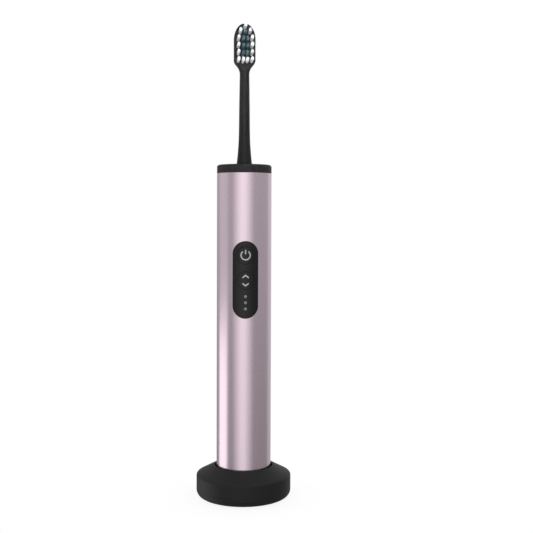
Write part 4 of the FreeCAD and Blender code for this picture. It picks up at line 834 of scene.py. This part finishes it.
class TOOTHBRUSH_OT_shaft(Part, bpy.types.Operator):
    """Models the steel drive shaft with the flat on its tip"""

    bl_idname = "toothbrush.shaft"
    bl_label = "Drive shaft"

    def build(self, scene):
        low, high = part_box("drive_shaft")
        radius = high.x
        flat = radius - FLAT_DEPTH
        flat_from = high.z - FLAT_LENGTH
        bm = turned([
            (0, low.z, 0),
            (radius, low.z, 0.2 * MM),
            (radius, flat_from, 0),
            (radius, high.z, 0.4 * MM),
            (0, high.z, 0),
        ], steps=64, segments=3)
        for vert in bm.verts:
            if vert.co.z > flat_from - NEAR:
                vert.co.y = min(vert.co.y, flat)
        add_piece("shaft", closed(bm), "drive", "steel", ["drive_shaft"], sharp=25.0)


# ---- panel ------------------------------------------------------------------------

def light_heights(scene):
    """Heights of the three light guides, from the top one down."""
    low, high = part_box("light_guides")
    radius = scene.handle_sizes.light_radius
    return [high.z - radius, middle_height("light_guides"), low.z + radius]


class TOOTHBRUSH_OT_panel(Part, bpy.types.Operator):
    """Models the curved panel plate with its flange and openings"""

    bl_idname = "toothbrush.panel"
    bl_label = "Panel"

    def build(self, scene):
        sizes = scene.handle_sizes
        half = PANEL_HIGH.x - sizes.flange
        low = PANEL_LOW.z + sizes.flange + half
        high = PANEL_HIGH.z - sizes.flange - half
        bm = bmesh.new()
        front, back = [], []
        walls = [(low, high, half, round_steps(sizes.panel_edge) + [
            (0, sizes.panel_step),
            (sizes.flange, sizes.panel_step),
            (sizes.flange, sizes.panel_depth),
        ])]
        hole = sizes.key_radius + sizes.key_gap
        for node in ("power_button", "mode_button"):
            height = middle_height(node)
            walls.append((height, height, hole,
                          round_steps(sizes.key_edge, opening=True, parts=3) + [
                              (0, sizes.key_shelf),
                              (sizes.key_step, sizes.key_shelf),
                              (sizes.key_step, sizes.panel_depth),
                          ]))
        for height in light_heights(scene):
            walls.append((height, height, sizes.light_radius + 0.03 * MM,
                          [(0, 0), (0, sizes.panel_depth)]))
        for outline_low, outline_high, radius, steps in walls:
            first, last = carry_back(bm, outline_low, outline_high, radius, steps)
            front += first
            back += last
        fill(bm, front)
        fill(bm, back)
        cut_columns(bm, half + sizes.flange, COLUMN)
        lay_on_barrel(bm, sizes.radius + sizes.panel_proud)
        add_piece("panel_plate", closed(bm), "handle", "black_gloss", ["panel_frame"])


STEM_RADIUS = 1.3 * MM
SHELF_GAP = 0.02 * MM  # between a button's flange and the panel in front of it
FLANGE_DEPTH = 0.72 * MM  # back of that flange behind the panel's shelf
MARK_DEPTH = 0.25 * MM
MARK_PROUD = 0.015 * MM
POWER_GAP = math.radians(36)  # half the opening of the power mark's ring
POWER_RAISED = 0.1 * MM
BAR_FOOT = 0.55 * MM


class TOOTHBRUSH_OT_buttons(Part, bpy.types.Operator):
    """Models the two buttons and the moulded marks on them"""

    bl_idname = "toothbrush.buttons"
    bl_label = "Buttons"

    def build(self, scene):
        sizes = scene.handle_sizes
        face = sizes.radius + sizes.panel_proud
        for node in ("power_button", "mode_button"):
            height = middle_height(node)
            stem_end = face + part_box(node)[1].y
            stem = STEM_RADIUS - sizes.key_radius
            shelf = sizes.key_shelf + SHELF_GAP
            flange_end = sizes.key_shelf + FLANGE_DEPTH
            bm = bmesh.new()
            first, last = carry_back(
                bm, height, height, sizes.key_radius,
                round_steps(sizes.key_edge, parts=3) + [
                    (0, shelf), (sizes.key_step, shelf), (sizes.key_step, flange_end),
                    (stem, flange_end), (stem, stem_end),
                ])
            fill(bm, first)
            fill(bm, last)
            cut_columns(bm, sizes.key_radius, COLUMN)
            lay_on_barrel(bm, face, flat_from=sizes.key_shelf)
            name = node.replace("button", "key")
            add_piece(name, closed(bm), node, "black_gloss", [node])
        self.power_mark(sizes, face)
        self.arrow_marks(sizes, face)

    def set_in(self, bm, face, name, body):
        """Gives a flat mark its thickness and lays it in the button's face."""
        thicken(bm, MARK_DEPTH)
        cut_columns(bm, 3 * MM, 0.5 * MM)
        lay_on_barrel(bm, face + MARK_PROUD)
        add_piece(name, closed(bm), body, "clear_guide", finish="marks")

    def power_mark(self, sizes, face):
        """An open ring with a bar in its gap."""
        height = middle_height("power_button") + POWER_RAISED
        radius = sizes.power_mark
        half = sizes.mark_stroke / 2
        bm = bmesh.new()
        ends = [bm.verts.new((0, 0, radius + side * half)) for side in (-1, 1)]
        stroke = bm.edges.new(ends)
        bmesh.ops.rotate(bm, verts=ends, cent=(0, 0, 0),
                         matrix=Matrix.Rotation(POWER_GAP, 3, "Y"))
        bmesh.ops.spin(bm, geom=ends + [stroke], cent=(0, 0, 0), axis=(0, 1, 0),
                       angle=2 * (math.pi - POWER_GAP), steps=48)
        corners = [vert for vert in bm.verts if len(vert.link_edges) == 2]
        soften(bm, corners, half * 0.95, 5)
        bar_top = radius + half * 1.6
        plate = as_mesh("bar", rounded_face([
            (across, up, half * 0.9) for across, up in (
                (-half, BAR_FOOT), (half, BAR_FOOT), (half, bar_top), (-half, bar_top))
        ]))
        bm.from_mesh(plate)
        bpy.data.meshes.remove(plate)
        bmesh.ops.translate(bm, verts=bm.verts[:], vec=(0, 0, height))
        bmesh.ops.recalc_face_normals(bm, faces=bm.faces[:])
        self.set_in(bm, face, "power_mark", "power_button")

    def arrow_marks(self, sizes, face):
        """An arrow up and an arrow down."""
        height = middle_height("mode_button")
        half = sizes.arrow_width / 2
        rise = sizes.arrow_rise
        stroke = sizes.mark_stroke
        slope = math.atan2(rise - stroke, half)
        thick = stroke / math.cos(slope)
        for name, side in (("arrow_up", 1), ("arrow_down", -1)):
            foot = sizes.arrow_gap / 2 * side
            peak = foot + side * (rise - thick)
            corner = stroke * 0.42
            bm = rounded_face([
                (-half, height + foot, corner),
                (0, height + peak, 0),
                (half, height + foot, corner),
                (half, height + foot + side * thick, corner),
                (0, height + peak + side * thick, 0),
                (-half, height + foot + side * thick, corner),
            ], segments=4)
            self.set_in(bm, face, name, "mode_button")


class TOOTHBRUSH_OT_light_guides(Part, bpy.types.Operator):
    """Models the three domed light guides in the panel"""

    bl_idname = "toothbrush.light_guides"
    bl_label = "Light guides"

    def build(self, scene):
        sizes = scene.handle_sizes
        face = sizes.radius + sizes.panel_proud
        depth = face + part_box("light_guides")[1].y
        for number, height in enumerate(light_heights(scene), 1):
            bm = turned([
                (0, 0, 0),
                (sizes.light_radius * 0.6, 0, 0),
                (sizes.light_radius, -0.14 * MM, 0.12 * MM),
                (sizes.light_radius, -depth, 0),
                (0, -depth, 0),
            ], steps=32, segments=4)
            lie = Matrix.Translation((0, -face, height)) @ Matrix.Rotation(
                math.pi / 2, 4, "X")
            bmesh.ops.transform(bm, matrix=lie, verts=bm.verts[:])
            add_piece(f"light_guide_{number}", closed(bm), "handle", "clear_guide",
                      ["light_guides"])


# ---- charger ----------------------------------------------------------------------

FOOT_WIDTH = 6.1 * MM
FOOT_GROOVE = 6.3 * MM  # the cover's groove from its inside to the foot's outside


class TOOTHBRUSH_OT_charger(Part, bpy.types.Operator):
    """Models the puck's top shell, bottom cover and rubber foot"""

    bl_idname = "toothbrush.charger"
    bl_label = "Charging puck"

    def build(self, scene):
        sizes = scene.charger_sizes
        handle = scene.handle_sizes
        self.top_shell(sizes, handle.radius)
        self.bottom_cover(sizes)
        self.foot()

    def top_shell(self, sizes, handle_radius):
        """The shell with its sloping top, the well and the charging peg."""
        radius = PUCK_HIGH.x
        inside = radius - sizes.wall
        well = handle_radius + sizes.well_gap
        rim = well + sizes.rim_width
        outer_well = well + sizes.wall
        roof = sizes.wall * 1.2
        fall = (sizes.rim_height - sizes.shoulder) / (radius - rim)
        under = sizes.well_floor - sizes.floor_wall
        peg_top = PUCK_HIGH.z

        def slope(at):
            return sizes.shoulder + (radius - at) * fall - roof

        shell = turned([
            (radius, sizes.split, sizes.seam),
            (radius, sizes.shoulder, sizes.shoulder_round),
            (rim, sizes.rim_height, sizes.rim_round * 0.6),
            (well, sizes.rim_height, sizes.rim_round * 0.6),
            (well, sizes.well_floor, sizes.rim_round),
            (sizes.peg_radius, sizes.well_floor, sizes.rim_round),
            (sizes.peg_radius, peg_top, sizes.peg_round),
            (0, peg_top, 0),
            (0, peg_top - sizes.peg_wall, 0),
            (sizes.peg_radius - sizes.peg_wall, peg_top - sizes.peg_wall, 0),
            (sizes.peg_radius - sizes.peg_wall, under, 0),
            (outer_well, under, 0),
            (outer_well, slope(outer_well), 0),
            (inside, slope(inside), 0),
            (inside, sizes.split, 0),
        ], steps=192, segments=10)
        piece = add_piece("puck_shell", shell, "charger", "black_plastic",
                          ["charger_top_shell"])
        self.cut_inlet(piece, sizes, radius)

    def cut_inlet(self, piece, sizes, radius):
        """Cuts the inlet's slot through the back wall."""
        height = middle_height("inlet_shell")
        half = sizes.inlet_half_height
        reach = sizes.inlet_half_width - half
        bm = bmesh.new()
        outline = start_outline(bm, -reach, reach, half)
        bmesh.ops.contextual_create(bm, geom=outline)
        thicken(bm, sizes.wall * 3)
        bmesh.ops.rotate(bm, verts=bm.verts[:], cent=(0, 0, 0),
                         matrix=Matrix.Rotation(math.pi / 2, 3, "Y"))
        bmesh.ops.translate(bm, verts=bm.verts[:], vec=(0, radius - sizes.wall * 2, height))
        bmesh.ops.recalc_face_normals(bm, faces=bm.faces[:])
        cutter = in_scene("inlet_cutter", as_mesh("inlet_cutter", bm))
        cut = piece.modifiers.new("Inlet", "BOOLEAN")
        cut.object = cutter
        cut.operation = "DIFFERENCE"
        cut.solver = "EXACT"
        piece.modifiers.move(1, 0)
        piece.modifiers["Even shading"].show_viewport = False
        bpy.context.view_layer.update()
        seen = piece.evaluated_get(bpy.context.evaluated_depsgraph_get())
        slotted = bpy.data.meshes.new_from_object(seen)
        piece.modifiers.remove(cut)
        piece.modifiers["Even shading"].show_viewport = True
        old = piece.data
        piece.data = slotted
        slotted.name = old.name
        bpy.data.meshes.remove(old)
        bpy.data.objects.remove(cutter)
        slotted.set_sharp_from_angle(angle=math.radians(SHARP))

    def bottom_cover(self, sizes):
        """The cover with its lip and the groove for the foot ring."""
        radius = PUCK_HIGH.x
        foot_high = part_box("foot_ring")[1]
        outer = foot_high.x + 0.1 * MM
        inner = foot_high.x - FOOT_GROOVE
        lip = radius - sizes.wall - 0.1 * MM
        lip_top = sizes.split + sizes.lip
        floor = sizes.bottom + sizes.cover_floor
        cover = turned([
            (0, sizes.bottom, 0),
            (inner, sizes.bottom, 0.2 * MM),
            (inner, foot_high.z, 0),
            (outer, foot_high.z, 0),
            (outer, sizes.bottom, 0.05 * MM),
            (radius, sizes.bottom, sizes.corner),
            (radius, sizes.split, sizes.seam),
            (lip, sizes.split, 0),
            (lip, lip_top, 0.15 * MM),
            (lip - 1.2 * MM, lip_top, 0.15 * MM),
            (lip - 1.2 * MM, floor, 0.5 * MM),
            (0, floor, 0),
        ], steps=192, segments=10)
        add_piece("puck_cover", cover, "charger", "black_plastic", ["charger_bottom_cover"])

    def foot(self):
        """The rubber ring with three shallow grooves in its underside."""
        low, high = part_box("foot_ring")
        outer = high.x
        inner = outer - FOOT_WIDTH
        corners = [(inner, high.z, 0), (inner, low.z, 0.2 * MM)]
        groove = 0.35 * MM
        for share in (0.25, 0.5, 0.75):
            middle = inner + (outer - inner) * share
            corners += [
                (middle - groove, low.z, 0.06 * MM),
                (middle - groove * 0.4, low.z + 0.3 * MM, 0.06 * MM),
                (middle + groove * 0.4, low.z + 0.3 * MM, 0.06 * MM),
                (middle + groove, low.z, 0.06 * MM),
            ]
        corners += [(outer, low.z, 0.2 * MM), (outer, high.z, 0)]
        add_piece("foot_band", turned(corners, segments=3), "charger", "dark_rubber",
                  ["foot_ring"])


# ---- brush head -------------------------------------------------------------------

def smooth_through(places, at):
    """A smooth curve through (place, value) pairs, read at one place."""
    for number in range(len(places) - 1):
        if at <= places[number + 1][0]:
            break
    slopes = []
    for here in (number, number + 1):
        before = places[max(here - 1, 0)]
        after = places[min(here + 1, len(places) - 1)]
        slopes.append((after[1] - before[1]) / (after[0] - before[0]))
    (start, first), (end, last) = places[number], places[number + 1]
    run = end - start
    share = (at - start) / run
    rise = share * share * (3 - 2 * share)
    return (first + (last - first) * rise
            + run * slopes[0] * share * (1 - share) ** 2
            - run * slopes[1] * share ** 2 * (1 - share))


def eased(at, start, end):
    """Runs softly from 0 at start to 1 at end."""
    share = min(1.0, max(0.0, (at - start) / (end - start)))
    return share * share * (3 - 2 * share)


RING_STEPS = 64
FLARE_AT = 0.46  # a place partway up the flared foot,
FLARE_PAST = 0.58  # and how much of the flare is past there
NECK_TAPER = 0.075  # thinning of the neck's depth along the shoulders
SHOULDER_OVER = 2.2 * MM  # where the shoulders end above the plate's lower edge
TIP_TURN = 89.3  # the tip's last ring stops this many degrees round its arch


class TOOTHBRUSH_OT_brush_head(Part, bpy.types.Operator):
    """Models the brush head as one smooth body from foot to tip"""

    bl_idname = "toothbrush.brush_head"
    bl_label = "Brush head"

    def build(self, scene):
        sizes = scene.head_sizes
        bm = bmesh.new()
        half_step = math.pi / RING_STEPS
        ring = bmesh.ops.create_circle(bm, cap_ends=False, segments=RING_STEPS, radius=1,
                                       matrix=Matrix.Rotation(half_step, 4, "Z"))["verts"]
        edges = edges_of(ring)
        bmesh.ops.contextual_create(bm, geom=edges)
        angles = {vert: math.atan2(vert.co.y, vert.co.x) for vert in ring}
        sections = self.sections(sizes)
        self.shape(angles, *sections[0])
        for section in sections[1:]:
            ring, edges = extruded(bm, edges)
            before = angles
            angles = {}
            for vert in ring:
                below = next(edge.other_vert(vert) for edge in vert.link_edges
                             if edge.other_vert(vert) in before)
                angles[vert] = before[below]
            self.shape(angles, *section)
        bmesh.ops.contextual_create(bm, geom=edges)
        add_piece("brush_head_body", closed(bm), "brush_head", "head_black",
                  ["brush_head_shell"], sharp=50.0)

    def shape(self, angles, height, half_width, half_depth, corner):
        """Sets a ring of points to a rounded oblong at one height."""
        for vert, turn in angles.items():
            across, along = math.cos(turn), math.sin(turn)
            grow = 1 / math.cos(math.pi / RING_STEPS)
            vert.co = (math.copysign(half_width - corner, across) + corner * across * grow,
                       math.copysign(half_depth - corner, along) + corner * along * grow,
                       height)

    def sections(self, sizes):
        """(height, half width, half depth, corner) from the top of the bore outwards."""
        foot, tip = HEAD_LOW.z, HEAD_HIGH.z
        wide = HEAD_HIGH.x
        foot_radius = HEAD_HIGH.y
        plate = tip - sizes.plate_length
        neck = plate - sizes.shoulder
        arch = tip - sizes.plate_arch
        waist = foot + sizes.flare
        middle = foot_radius - (foot_radius - sizes.neck_waist) * FLARE_PAST
        neck_line = [
            (foot + sizes.foot_edge, foot_radius),
            (foot + sizes.flare * FLARE_AT, middle),
            (waist, sizes.neck_waist),
            ((waist + neck) / 2, (sizes.neck_waist + sizes.neck_top) / 2),
            (neck, sizes.neck_top),
        ]
        rings = []

        def round_ring(height, radius):
            rings.append((height, radius, radius, radius))

        round_ring(foot + sizes.bore_depth, sizes.bore)
        round_ring(foot + 0.25 * MM, sizes.bore)
        round_ring(foot, sizes.bore + 0.25 * MM)
        round_ring(foot, foot_radius - sizes.foot_edge)
        for share in parts_of(4):
            turn = math.pi / 2 * share
            round_ring(foot + sizes.foot_edge * (1 - math.cos(turn)),
                       foot_radius - sizes.foot_edge * (1 - math.sin(turn)))
        for share in parts_of(56):
            height = foot + sizes.foot_edge + (neck - foot - sizes.foot_edge) * share
            round_ring(height, smooth_through(neck_line, height))
        shoulder_top = plate + SHOULDER_OVER
        for share in parts_of(26):
            height = neck + (shoulder_top - neck) * share
            width = sizes.neck_top + (wide - sizes.neck_top) * self.shoulder_curve(share)
            depth = max(sizes.plate_half,
                        sizes.neck_top - (height - neck) * NECK_TAPER)
            depth += (sizes.plate_half - depth) * eased(
                height, plate - 1 * MM, shoulder_top)
            corner = sizes.neck_top + (sizes.plate_edge - sizes.neck_top) * eased(
                height, neck, plate + 1 * MM)
            rings.append((height, width, depth, min(corner, depth, width)))
        for share in parts_of(10):
            height = shoulder_top + (arch - shoulder_top) * share
            rings.append((height, wide, sizes.plate_half, sizes.plate_edge))
        for share in parts_of(22):
            turn = math.radians(TIP_TURN) * share
            height = arch + sizes.plate_arch * math.sin(turn)
            width = wide * math.cos(turn)
            short = max(0.0, sizes.plate_edge - (tip - height))
            depth = (sizes.plate_half - sizes.plate_edge
                     + math.sqrt(sizes.plate_edge ** 2 - short ** 2))
            corner = min(sizes.plate_edge, width, depth)
            rings.append((height, width, depth, corner))
        return rings

    def shoulder_curve(self, share):
        """How far the shoulders have opened from the neck to the plate."""
        return smooth_through([(-0.1, -0.015), (0.0, 0.0), (0.2, 0.05), (0.45, 0.29),
                               (0.68, 0.71), (0.82, 0.925), (0.92, 0.985), (1.0, 1.0),
                               (1.1, 1.0)], share)


FIRST_PITCH = 0.66  # from the top tuft to the next row, as a share of the pitch
SECOND_ROW = 0.72  # tufts of that row from the middle, as a share of the outer ones
ROOT_DEPTH = 0.4 * MM  # bristles inside the plate
LEAN_OUT = 0.05  # how far a bristle leans outwards, as a share of its place
OVAL = 1.02  # a tuft's outline, as a share of its half sizes squared
BRISTLE_END = 0.55  # width of a bristle's flat end, as a share of its own
ROW_STEP = 0.866  # spacing of rows packed like a honeycomb, as a share of the pitch
LEAN = 0.018 * MM  # how far a bristle's end strays
UNEVEN = 0.16 * MM  # how much longer one bristle is than another
DOME = 0.22 * MM  # how much the outer bristles of a tuft fall short


class TOOTHBRUSH_OT_bristles(Part, bpy.types.Operator):
    """Models every tuft as a bundle of round-ended nylon bristles"""

    bl_idname = "toothbrush.bristles"
    bl_label = "Bristles"

    def build(self, scene):
        sizes = scene.head_sizes
        chance = random.Random(sizes.seed)
        filament = self.one_bristle(sizes)
        for name, node, slot, inner in (
                ("bristles_white", "tufts_white", "nylon_white", False),
                ("bristles_blue", "tufts_blue", "nylon_blue", True)):
            bm = bmesh.new()
            for across, height, is_inner in self.tuft_places(sizes):
                if is_inner == inner:
                    tuft = self.one_tuft(sizes, filament, across, height, chance)
                    bm.from_mesh(tuft)
                    bpy.data.meshes.remove(tuft)
            add_piece(name, bm, "brush_head", slot, [node], sharp=60.0)
        bpy.data.meshes.remove(filament)

    def tuft_places(self, sizes):
        """(across, height, is inner) of each tuft, from the tip down."""
        top = HEAD_HIGH.z - sizes.first_row
        first = top - sizes.row_pitch * FIRST_PITCH
        near = sizes.outer_column * SECOND_ROW
        places = [(0.0, top, False), (-near, first, False), (near, first, False),
                  (0.0, first - sizes.inner_sag - 0.3 * MM, True)]
        for row in range(1, 5):
            height = first - sizes.row_pitch * row
            last = row == 4
            drop = sizes.inner_sag * (0.5 if last else 1.0)
            for side in (-1, 1):
                places.append((side * sizes.outer_column, height, False))
                places.append((side * sizes.inner_column, height - drop, not last))
        return places

    def one_bristle(self, sizes):
        """A round-ended bristle along -Y from the origin, one length long."""
        bm = bmesh.new()
        turn = Matrix.Rotation(math.pi / 2, 4, "X")
        ring = bmesh.ops.create_circle(bm, cap_ends=True, segments=6, matrix=turn,
                                       radius=sizes.filament / 2)["verts"]
        edges = edges_of(ring)
        for share in (1.0, BRISTLE_END):
            ring, edges = extruded(bm, edges)
            for vert in ring:
                vert.co = (vert.co.x * share, -1.0, vert.co.z * share)
        bmesh.ops.contextual_create(bm, geom=edges)
        bmesh.ops.recalc_face_normals(bm, faces=bm.faces[:])
        return as_mesh("bristle", bm)

    def one_tuft(self, sizes, filament, across, height, chance):
        """Bristles packed in an oval, their ends spread and trimmed a little unevenly."""
        pitch = sizes.filament_pitch
        wide = sizes.tuft_width / 2 - sizes.filament / 2
        tall = sizes.tuft_height / 2 - sizes.filament / 2
        root = -sizes.plate_half + ROOT_DEPTH
        tip_round = sizes.filament * 0.35
        bm = bmesh.new()
        rows = math.ceil(tall / (pitch * ROW_STEP))
        columns = math.ceil(wide / pitch)
        for row in range(-rows, rows + 1):
            for column in range(-columns, columns + 1):
                x = (column + 0.5 * (row % 2)) * pitch
                z = row * pitch * ROW_STEP
                edge = (x / wide) ** 2 + (z / tall) ** 2
                if edge > OVAL:
                    continue
                spot = len(bm.verts)
                bm.from_mesh(filament)
                bm.verts.ensure_lookup_table()
                end = TUFT_ENDS + DOME * edge + chance.uniform(0.0, UNEVEN)
                lean_x = x * LEAN_OUT + chance.gauss(0, LEAN)
                lean_z = z * LEAN_OUT + chance.gauss(0, LEAN)
                for number in range(spot, len(bm.verts)):
                    co = bm.verts[number].co
                    share = -co.y
                    is_end = abs(co.x) + abs(co.z) < sizes.filament * 0.4
                    co.x += across + x + lean_x * share
                    co.z += height + z + lean_z * share
                    co.y = root + (end - root) * share
                    if share and not is_end:
                        co.y += tip_round
        return as_mesh("tuft", bm)


# ---- what keeps its CAD shape ------------------------------------------------------

class TOOTHBRUSH_OT_inner_parts(Part, bpy.types.Operator):
    """Gives every part that keeps its CAD shape the finish of its slot"""

    bl_idname = "toothbrush.inner_parts"
    bl_label = "Inner parts"

    def build(self, scene):
        for part in frame["record"]["subparts"]:
            node = frame["nodes"][part["node"]]
            node.data.materials.clear()
            node.data.materials.append(finish_of(part["material_slot"]))


# ---- studio -----------------------------------------------------------------------

FLOOR_DROP = 0.2 * MM
ROOM_LOW, ROOM_HIGH = -0.30, 0.06  # the room brightens between these rises of a ray
# Each lamp's setting, azimuth in degrees, distance, width, height, height of its middle
# and of the place on the axis that it faces. The keys stand one behind the other.
SOFTBOXES = {
    "Key 1": ("key", -8, 0.90, 0.44, 1.1, 0.13, 0.13),
    "Key 2": ("key", -8, 0.94, 0.94, 1.1, 0.13, 0.13),
    "Key 3": ("key", -8, 0.98, 1.6, 1.1, 0.13, 0.13),
    "Left strip": ("strip", -102, 0.40, 0.37, 0.50, -0.20, -0.20),
    "Left side": ("side", -101, 0.50, 0.50, 1.1, 0.13, 0.13),
    "Head": ("head", -3, 0.45, 0.08, 0.08, 0.17, 0.25),
    "Right fill": ("fill", 146, 0.80, 0.9, 1.1, 0.13, 0.13),
    "Overhead": ("top", 20, 0.35, 0.6, 0.5, 0.55, 0.0),
}


class TOOTHBRUSH_OT_studio(Part, bpy.types.Operator):
    """Sets up the white floor, the softboxes and the camera"""

    bl_idname = "toothbrush.studio"
    bl_label = "Studio"

    def build(self, scene):
        settings = scene.studio_settings
        self.floor()
        self.surround(settings)
        lamps = {name: self.softbox(name, getattr(settings, knob), *place)
                 for name, (knob, *place) in SOFTBOXES.items()}
        lamps["Head"].data.spread = math.radians(16)
        lamps["Head"].visible_glossy = False
        self.camera(settings)
        scene.view_settings.view_transform = "Standard"

    def floor(self):
        """A pale glowing floor with a painted contact shadow where the puck stands."""
        bm = bmesh.new()
        bmesh.ops.create_grid(bm, x_segments=8, y_segments=8, size=6)
        mesh = as_mesh("floor", bm)
        floor = in_scene("floor", mesh)
        floor.location.z = -FLOOR_DROP
        floor.visible_glossy = False
        floor.visible_diffuse = False
        floor.visible_shadow = False
        finish = Finish("Studio floor", base_color=(0.0, 0.0, 0.0), specular_ior_level=0.0)
        # painted shadow: ambient occlusion greys the floor's glow round the puck
        painted_contact_shadow = finish.add("ShaderNodeAmbientOcclusion", [("Distance", 25 * MM)],
                             samples=16)
        tone = finish.mixed(painted_contact_shadow.outputs["AO"], (0.90, 0.90, 0.905), (1.0, 1.0, 1.0))
        finish.set("Emission Color", tone)
        finish.set("Emission Strength", 1.0)
        mesh.materials.append(finish.material)

    def surround(self, settings):
        """White where the camera looks past the brush, and a dim room in its gloss."""
        world = bpy.data.worlds.new("Studio")
        bpy.context.scene.world = world
        tree = Nodes(world)
        where = tree.add("ShaderNodeTexCoord").outputs["Generated"]
        rise = tree.add("ShaderNodeSeparateXYZ", [(0, where)]).outputs["Z"]
        room = tree.add("ShaderNodeMapRange", [
            (0, rise), (1, ROOM_LOW), (2, ROOM_HIGH), (3, settings.low),
            (4, settings.high),
        ])
        seen = tree.add("ShaderNodeLightPath").outputs["Is Camera Ray"]
        mix = tree.add("ShaderNodeMix", [(0, seen), (2, room.outputs[0]), (3, 1.0)])
        sky = tree.nodes["Background"]
        tree.links.new(mix.outputs[0], sky.inputs["Strength"])
        sky.inputs["Color"].default_value = (1.0, 1.0, 1.0, 1.0)

    def softbox(self, name, radiance, azimuth, distance, width, height, middle, aim):
        """A rectangular lamp at an azimuth in degrees, facing a height on the axis."""
        data = bpy.data.lights.new(name, "AREA")
        data.shape = "RECTANGLE"
        data.size, data.size_y = width, height
        data.energy = radiance * width * height * math.pi
        lamp = in_scene(name, data)
        turn = math.radians(azimuth)
        lamp.location = (distance * math.sin(turn), -distance * math.cos(turn), middle)
        beam = Vector((0, 0, aim)) - lamp.location
        lamp.rotation_euler = beam.to_track_quat("-Z", "Y").to_euler()
        lamp.visible_camera = False
        return lamp

    def camera(self, settings):
        data = bpy.data.cameras.new("Camera")
        data.lens = settings.lens
        data.shift_y = settings.shift
        data.clip_start = 0.01
        camera = in_scene("Camera", data)
        turn = (Matrix.Rotation(settings.azimuth - settings.aside, 4, "Z")
                @ Matrix.Rotation(math.pi / 2 - settings.tilt, 4, "X")
                @ Matrix.Rotation(settings.roll, 4, "Z"))
        place = Matrix.Translation((settings.distance * math.sin(settings.azimuth),
                                    -settings.distance * math.cos(settings.azimuth),
                                    settings.height))
        camera.matrix_world = place @ turn
        bpy.context.scene.camera = camera


# ---- add-on -----------------------------------------------------------------------

class TOOTHBRUSH_PT_parts(bpy.types.Panel):
    """Lists the parts of the brush, its charger and its studio"""

    bl_idname = "TOOTHBRUSH_PT_parts"
    bl_label = "Electric toothbrush"
    bl_space_type = "VIEW_3D"
    bl_region_type = "UI"
    bl_category = "Toothbrush"

    def draw(self, context):
        for operator in PART_OPERATORS:
            self.layout.operator(operator.bl_idname)


PART_OPERATORS = (
    TOOTHBRUSH_OT_inner_parts,
    TOOTHBRUSH_OT_barrel,
    TOOTHBRUSH_OT_caps,
    TOOTHBRUSH_OT_shaft,
    TOOTHBRUSH_OT_panel,
    TOOTHBRUSH_OT_buttons,
    TOOTHBRUSH_OT_light_guides,
    TOOTHBRUSH_OT_charger,
    TOOTHBRUSH_OT_brush_head,
    TOOTHBRUSH_OT_bristles,
    TOOTHBRUSH_OT_studio,
)
SETTINGS = {
    "handle_sizes": HandleSizes,
    "head_sizes": HeadSizes,
    "charger_sizes": ChargerSizes,
    "brush_colours": BrushColours,
    "studio_settings": StudioSettings,
}
CLASSES = (*SETTINGS.values(), *PART_OPERATORS, TOOTHBRUSH_PT_parts)


def register():
    for made in CLASSES:
        bpy.utils.register_class(made)
    for name, group in SETTINGS.items():
        setattr(bpy.types.Scene, name, PointerProperty(type=group))


def unregister():
    for name in SETTINGS:
        delattr(bpy.types.Scene, name)
    for made in reversed(CLASSES):
        bpy.utils.unregister_class(made)


def main():
    register()
    for operator in PART_OPERATORS:
        group, name = operator.bl_idname.split(".")
        getattr(getattr(bpy.ops, group), name)()


if __name__ == "__main__":
    main()
